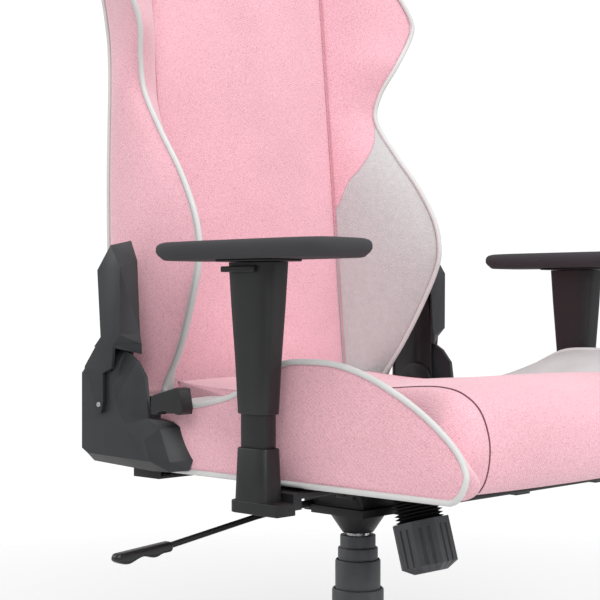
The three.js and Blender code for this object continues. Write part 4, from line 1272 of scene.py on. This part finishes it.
@dataclass
class Mechanism:
    """Everything between the seat and the gas lift."""

    tilt: float = math.radians(16)
    hang: Vector = field(default_factory=lambda: Vector((0, -88, 371.5)) * MM)
    knob_top: float = -36 * MM
    knob_height: float = 60 * MM
    knob_radius: float = 35 * MM
    groove: float = 1.7 * MM
    ridge: float = 4.0 * MM
    paddle_start: float = -267 * MM
    paddle_length: float = 80 * MM

    def build(self) -> None:
        """Builds the housing, plate, knob, bellows and levers."""
        refined("mechanism_housing", STEEL, 1.2 * MM)
        refined("mechanism_plate", STEEL, 0.8 * MM)
        refined("tilt_pin", STEEL, 0.5 * MM)
        refined("tension_bolt", BRIGHT, 0.5 * MM)
        refined("lever_pivot", STEEL, 0.4 * MM)
        refined("height_lever", STEEL, 0.3 * MM)
        self.knob()
        self.bellows()
        self.paddle()

    def on_axis(self, x: float, y: float, z: float) -> Vector:
        """A place given about the tension bolt's own leaning axis."""
        return self.hang + Matrix.Rotation(-self.tilt, 3, "X") @ Vector((x, y, z))

    def knob(self) -> None:
        """The eight-sided tension knob, with two grooves in every facet."""
        facet = [(-1, 0), (-0.5, 0), (-0.44, 1), (-0.26, 1), (-0.2, 0), (0.2, 0), (0.26, 1),
                 (0.44, 1), (0.5, 0)]
        bottom = self.knob_top - self.knob_height
        levels = [
            (bottom, 0.5, 0.0), (bottom + 0.2 * MM, 0.6, 0.0), (bottom + 8 * MM, 1.0, 1.0),
            (self.knob_top - 8 * MM, 1.0, 1.0), (self.knob_top - 7 * MM, 1.0, 0.0),
            (self.knob_top, 1.0, 0.0), (self.knob_top, 0.88, 0.0), (self.knob_top - 11 * MM, 0.86, 0.0),
        ]
        apothem = self.knob_radius * math.cos(math.pi / 8)
        half = self.knob_radius * math.sin(math.pi / 8)

        def place(column: int, row: int) -> Vector:
            """A point of the knob's skin."""
            side, k = divmod(column % (8 * len(facet)), len(facet))
            across, sunk = facet[k]
            z, share, grooved = levels[row]
            turn = math.tau * side / 8
            out = apothem * share - self.groove * sunk * grooved
            along = half * across * share
            x = out * math.cos(turn) - along * math.sin(turn)
            y = out * math.sin(turn) + along * math.cos(turn)
            return self.on_axis(x, y, z)

        bm = wrapped(8 * len(facet), len(levels) - 1, place)
        piece = finish_piece(
            "tension_knob_moulding", bm, [GRAPHITE], Body.KNOB.value, ["tension_knob"], smooth=False
        )
        round_edges(piece, 0.5 * MM, least=30, hard=False)

    def bellows(self) -> None:
        """The ribbed rubber boot above the knob."""
        count = 11

        def place(column: int, row: int) -> Vector:
            """A point of the boot: ribs outside, a plain bore inside."""
            angle = math.tau * column / 48
            if row <= 2 * count:
                radius, z = (29 if row % 2 else 23) * MM, -row * self.ridge / 2
            else:
                radius, z = 14 * MM, (-count * self.ridge, 0)[row - 2 * count - 1]
            return self.on_axis(radius * math.cos(angle), radius * math.sin(angle), z - 0.4 * MM)

        bm = wrapped(48, 2 * count + 3, lambda c, r: place(c, r % (2 * count + 3)))
        finish_piece(
            "tension_boot", bm, [RUBBER], Body.MECHANISM.value, ["tension_bellows"], smooth=False
        )

    def paddle(self) -> None:
        """The height lever's gloss paddle, with finger notches underneath."""
        around, along = 32, 48

        def place(column: int, row: int) -> Vector:
            """A point of the paddle's skin."""
            t = row / along
            angle = math.tau * column / around
            c, s = math.cos(angle), math.sin(angle)
            reach = (abs(c) ** 3.6 + abs(s) ** 3.6) ** (-1 / 3.6)
            end = min(1.0, 0.55 + 9 * min(t, 1 - t))
            notch = 2.2 * math.sin(t * math.tau * 2.1 + 0.6) * smoothstep(0.12, 0.3, t)
            low = 6.2 - notch if s < 0 else 5.2
            y = 37 * MM + 7.6 * MM * end * reach * c
            z = (324.5 - 5.5 * t) * MM + low * MM * end * reach * s
            return Vector((self.paddle_start - self.paddle_length * t, y, z))

        bm = wrapped(around, along, place)
        finish_piece("lever_paddle", bm, [GLOSS], Body.LEVER.value, ["lever_grip"])


@dataclass
class Base:
    """The gas lift with its covers, the five-leg star and the casters."""

    legs: int = 5

    def build(self) -> None:
        """Builds the column, the star and each caster."""
        for node in ("cover_lower", "cover_middle", "cover_upper"):
            refined(node, GRAPHITE, 0.8 * MM)
        refined("column_tube", STEEL, 0.6 * MM)
        refined("lift_piston", BRIGHT, 0.6 * MM)
        refined("base_star", PLASTIC, 2.5 * MM, 3)
        for k in range(1, self.legs + 1):
            refined(f"caster_hood_{k}", PLASTIC, 0.8 * MM)
            refined(f"caster_wheels_{k}", TREAD, 1.2 * MM, 3)


# ---- studio ------------------------------------------------------------------------


@dataclass
class Studio:
    """The floor, the light and the camera."""

    azimuth: float = math.radians(48)
    distance: float = 1.8
    eye: float = 595 * MM
    lens: float = 88.8
    aim_left: float = math.radians(2.24)

    def build(self) -> None:
        """Builds all three."""
        self.floor()
        self.light()
        self.camera()

    def camera(self) -> None:
        """A level camera in front of the sitter's right side."""
        data = bpy.data.cameras.new("camera")
        data.lens = self.lens
        data.sensor_width = 36
        camera = bpy.data.objects.new("camera", data)
        camera.location = (
            -self.distance * math.sin(self.azimuth), -self.distance * math.cos(self.azimuth), self.eye
        )
        camera.rotation_euler = (math.pi / 2, 0, -self.azimuth + self.aim_left)
        bpy.context.scene.collection.objects.link(camera)
        bpy.context.scene.camera = camera

    def floor(self) -> None:
        """A round pale floor whose rim fades away."""
        bm = bmesh.new()
        bmesh.ops.create_circle(bm, cap_ends=True, segments=96, radius=2.4)
        mesh = bpy.data.meshes.new("floor")
        bm.to_mesh(mesh)
        bm.free()
        tree = Tree("pale_floor")
        far = tree.add("ShaderNodeVectorMath", {0: tree.place}, operation="LENGTH").outputs["Value"]
        cover = tree.add(
            "ShaderNodeMapRange",
            {"Value": far, "From Min": 0.8, "From Max": 2.3, "To Min": 1.0, "To Max": 0.0},
        ).outputs["Result"]
        mesh.materials.append(tree.finish(Base_Color=(0.93, 0.93, 0.93, 1), Roughness=0.9, Alpha=cover))
        floor = bpy.data.objects.new("floor", mesh)
        bpy.context.scene.collection.objects.link(floor)

    def light(self) -> None:
        """A white surround and four soft boxes."""
        world = bpy.data.worlds.new("surround")
        bpy.context.scene.world = world
        world.use_nodes = True
        nodes, links = world.node_tree.nodes, world.node_tree.links
        shown = nodes.new("ShaderNodeBackground")
        shown.inputs["Strength"].default_value = 1.05
        lit = nodes["Background"]
        lit.inputs["Color"].default_value = (1, 1, 1, 1)
        lit.inputs["Strength"].default_value = 0.55
        shown.inputs["Color"].default_value = (1, 1, 1, 1)
        mix = nodes.new("ShaderNodeMixShader")
        seen = nodes.new("ShaderNodeLightPath")
        links.new(seen.outputs["Is Camera Ray"], mix.inputs[0])
        links.new(lit.outputs[0], mix.inputs[1])
        links.new(shown.outputs[0], mix.inputs[2])
        links.new(mix.outputs[0], nodes["World Output"].inputs[0])
        self.soft_box("key", (-2.3, -2.1, 2.5), 1.9, 58)
        self.soft_box("fill", (1.3, -2.8, 1.7), 1.8, 27)
        self.soft_box("top", (-0.3, -0.5, 3.0), 2.2, 30)
        self.soft_box("rear", (-1.6, 2.6, 1.9), 1.4, 18)
        bpy.context.scene.view_settings.view_transform = "Standard"

    def soft_box(self, name: str, at: tuple[float, float, float], size: float, power: float) -> None:
        """A square area light that faces the chair."""
        data = bpy.data.lights.new(name, "AREA")
        data.size = size
        data.energy = power
        lamp = bpy.data.objects.new(name, data)
        lamp.location = at
        aim = Vector((0, 0, 0.7)) - Vector(at)
        lamp.rotation_euler = aim.to_track_quat("-Z", "Y").to_euler()
        bpy.context.scene.collection.objects.link(lamp)


def main() -> None:
    """Builds the studio, then each sub-assembly from the floor up."""
    for part in (Studio(), Backrest(), Seat(), ReclineHinges(), Armrests(), Mechanism(), Base()):
        part.build()
        LOG.info("built %s", type(part).__name__)


if __name__ == "__main__":
    main()
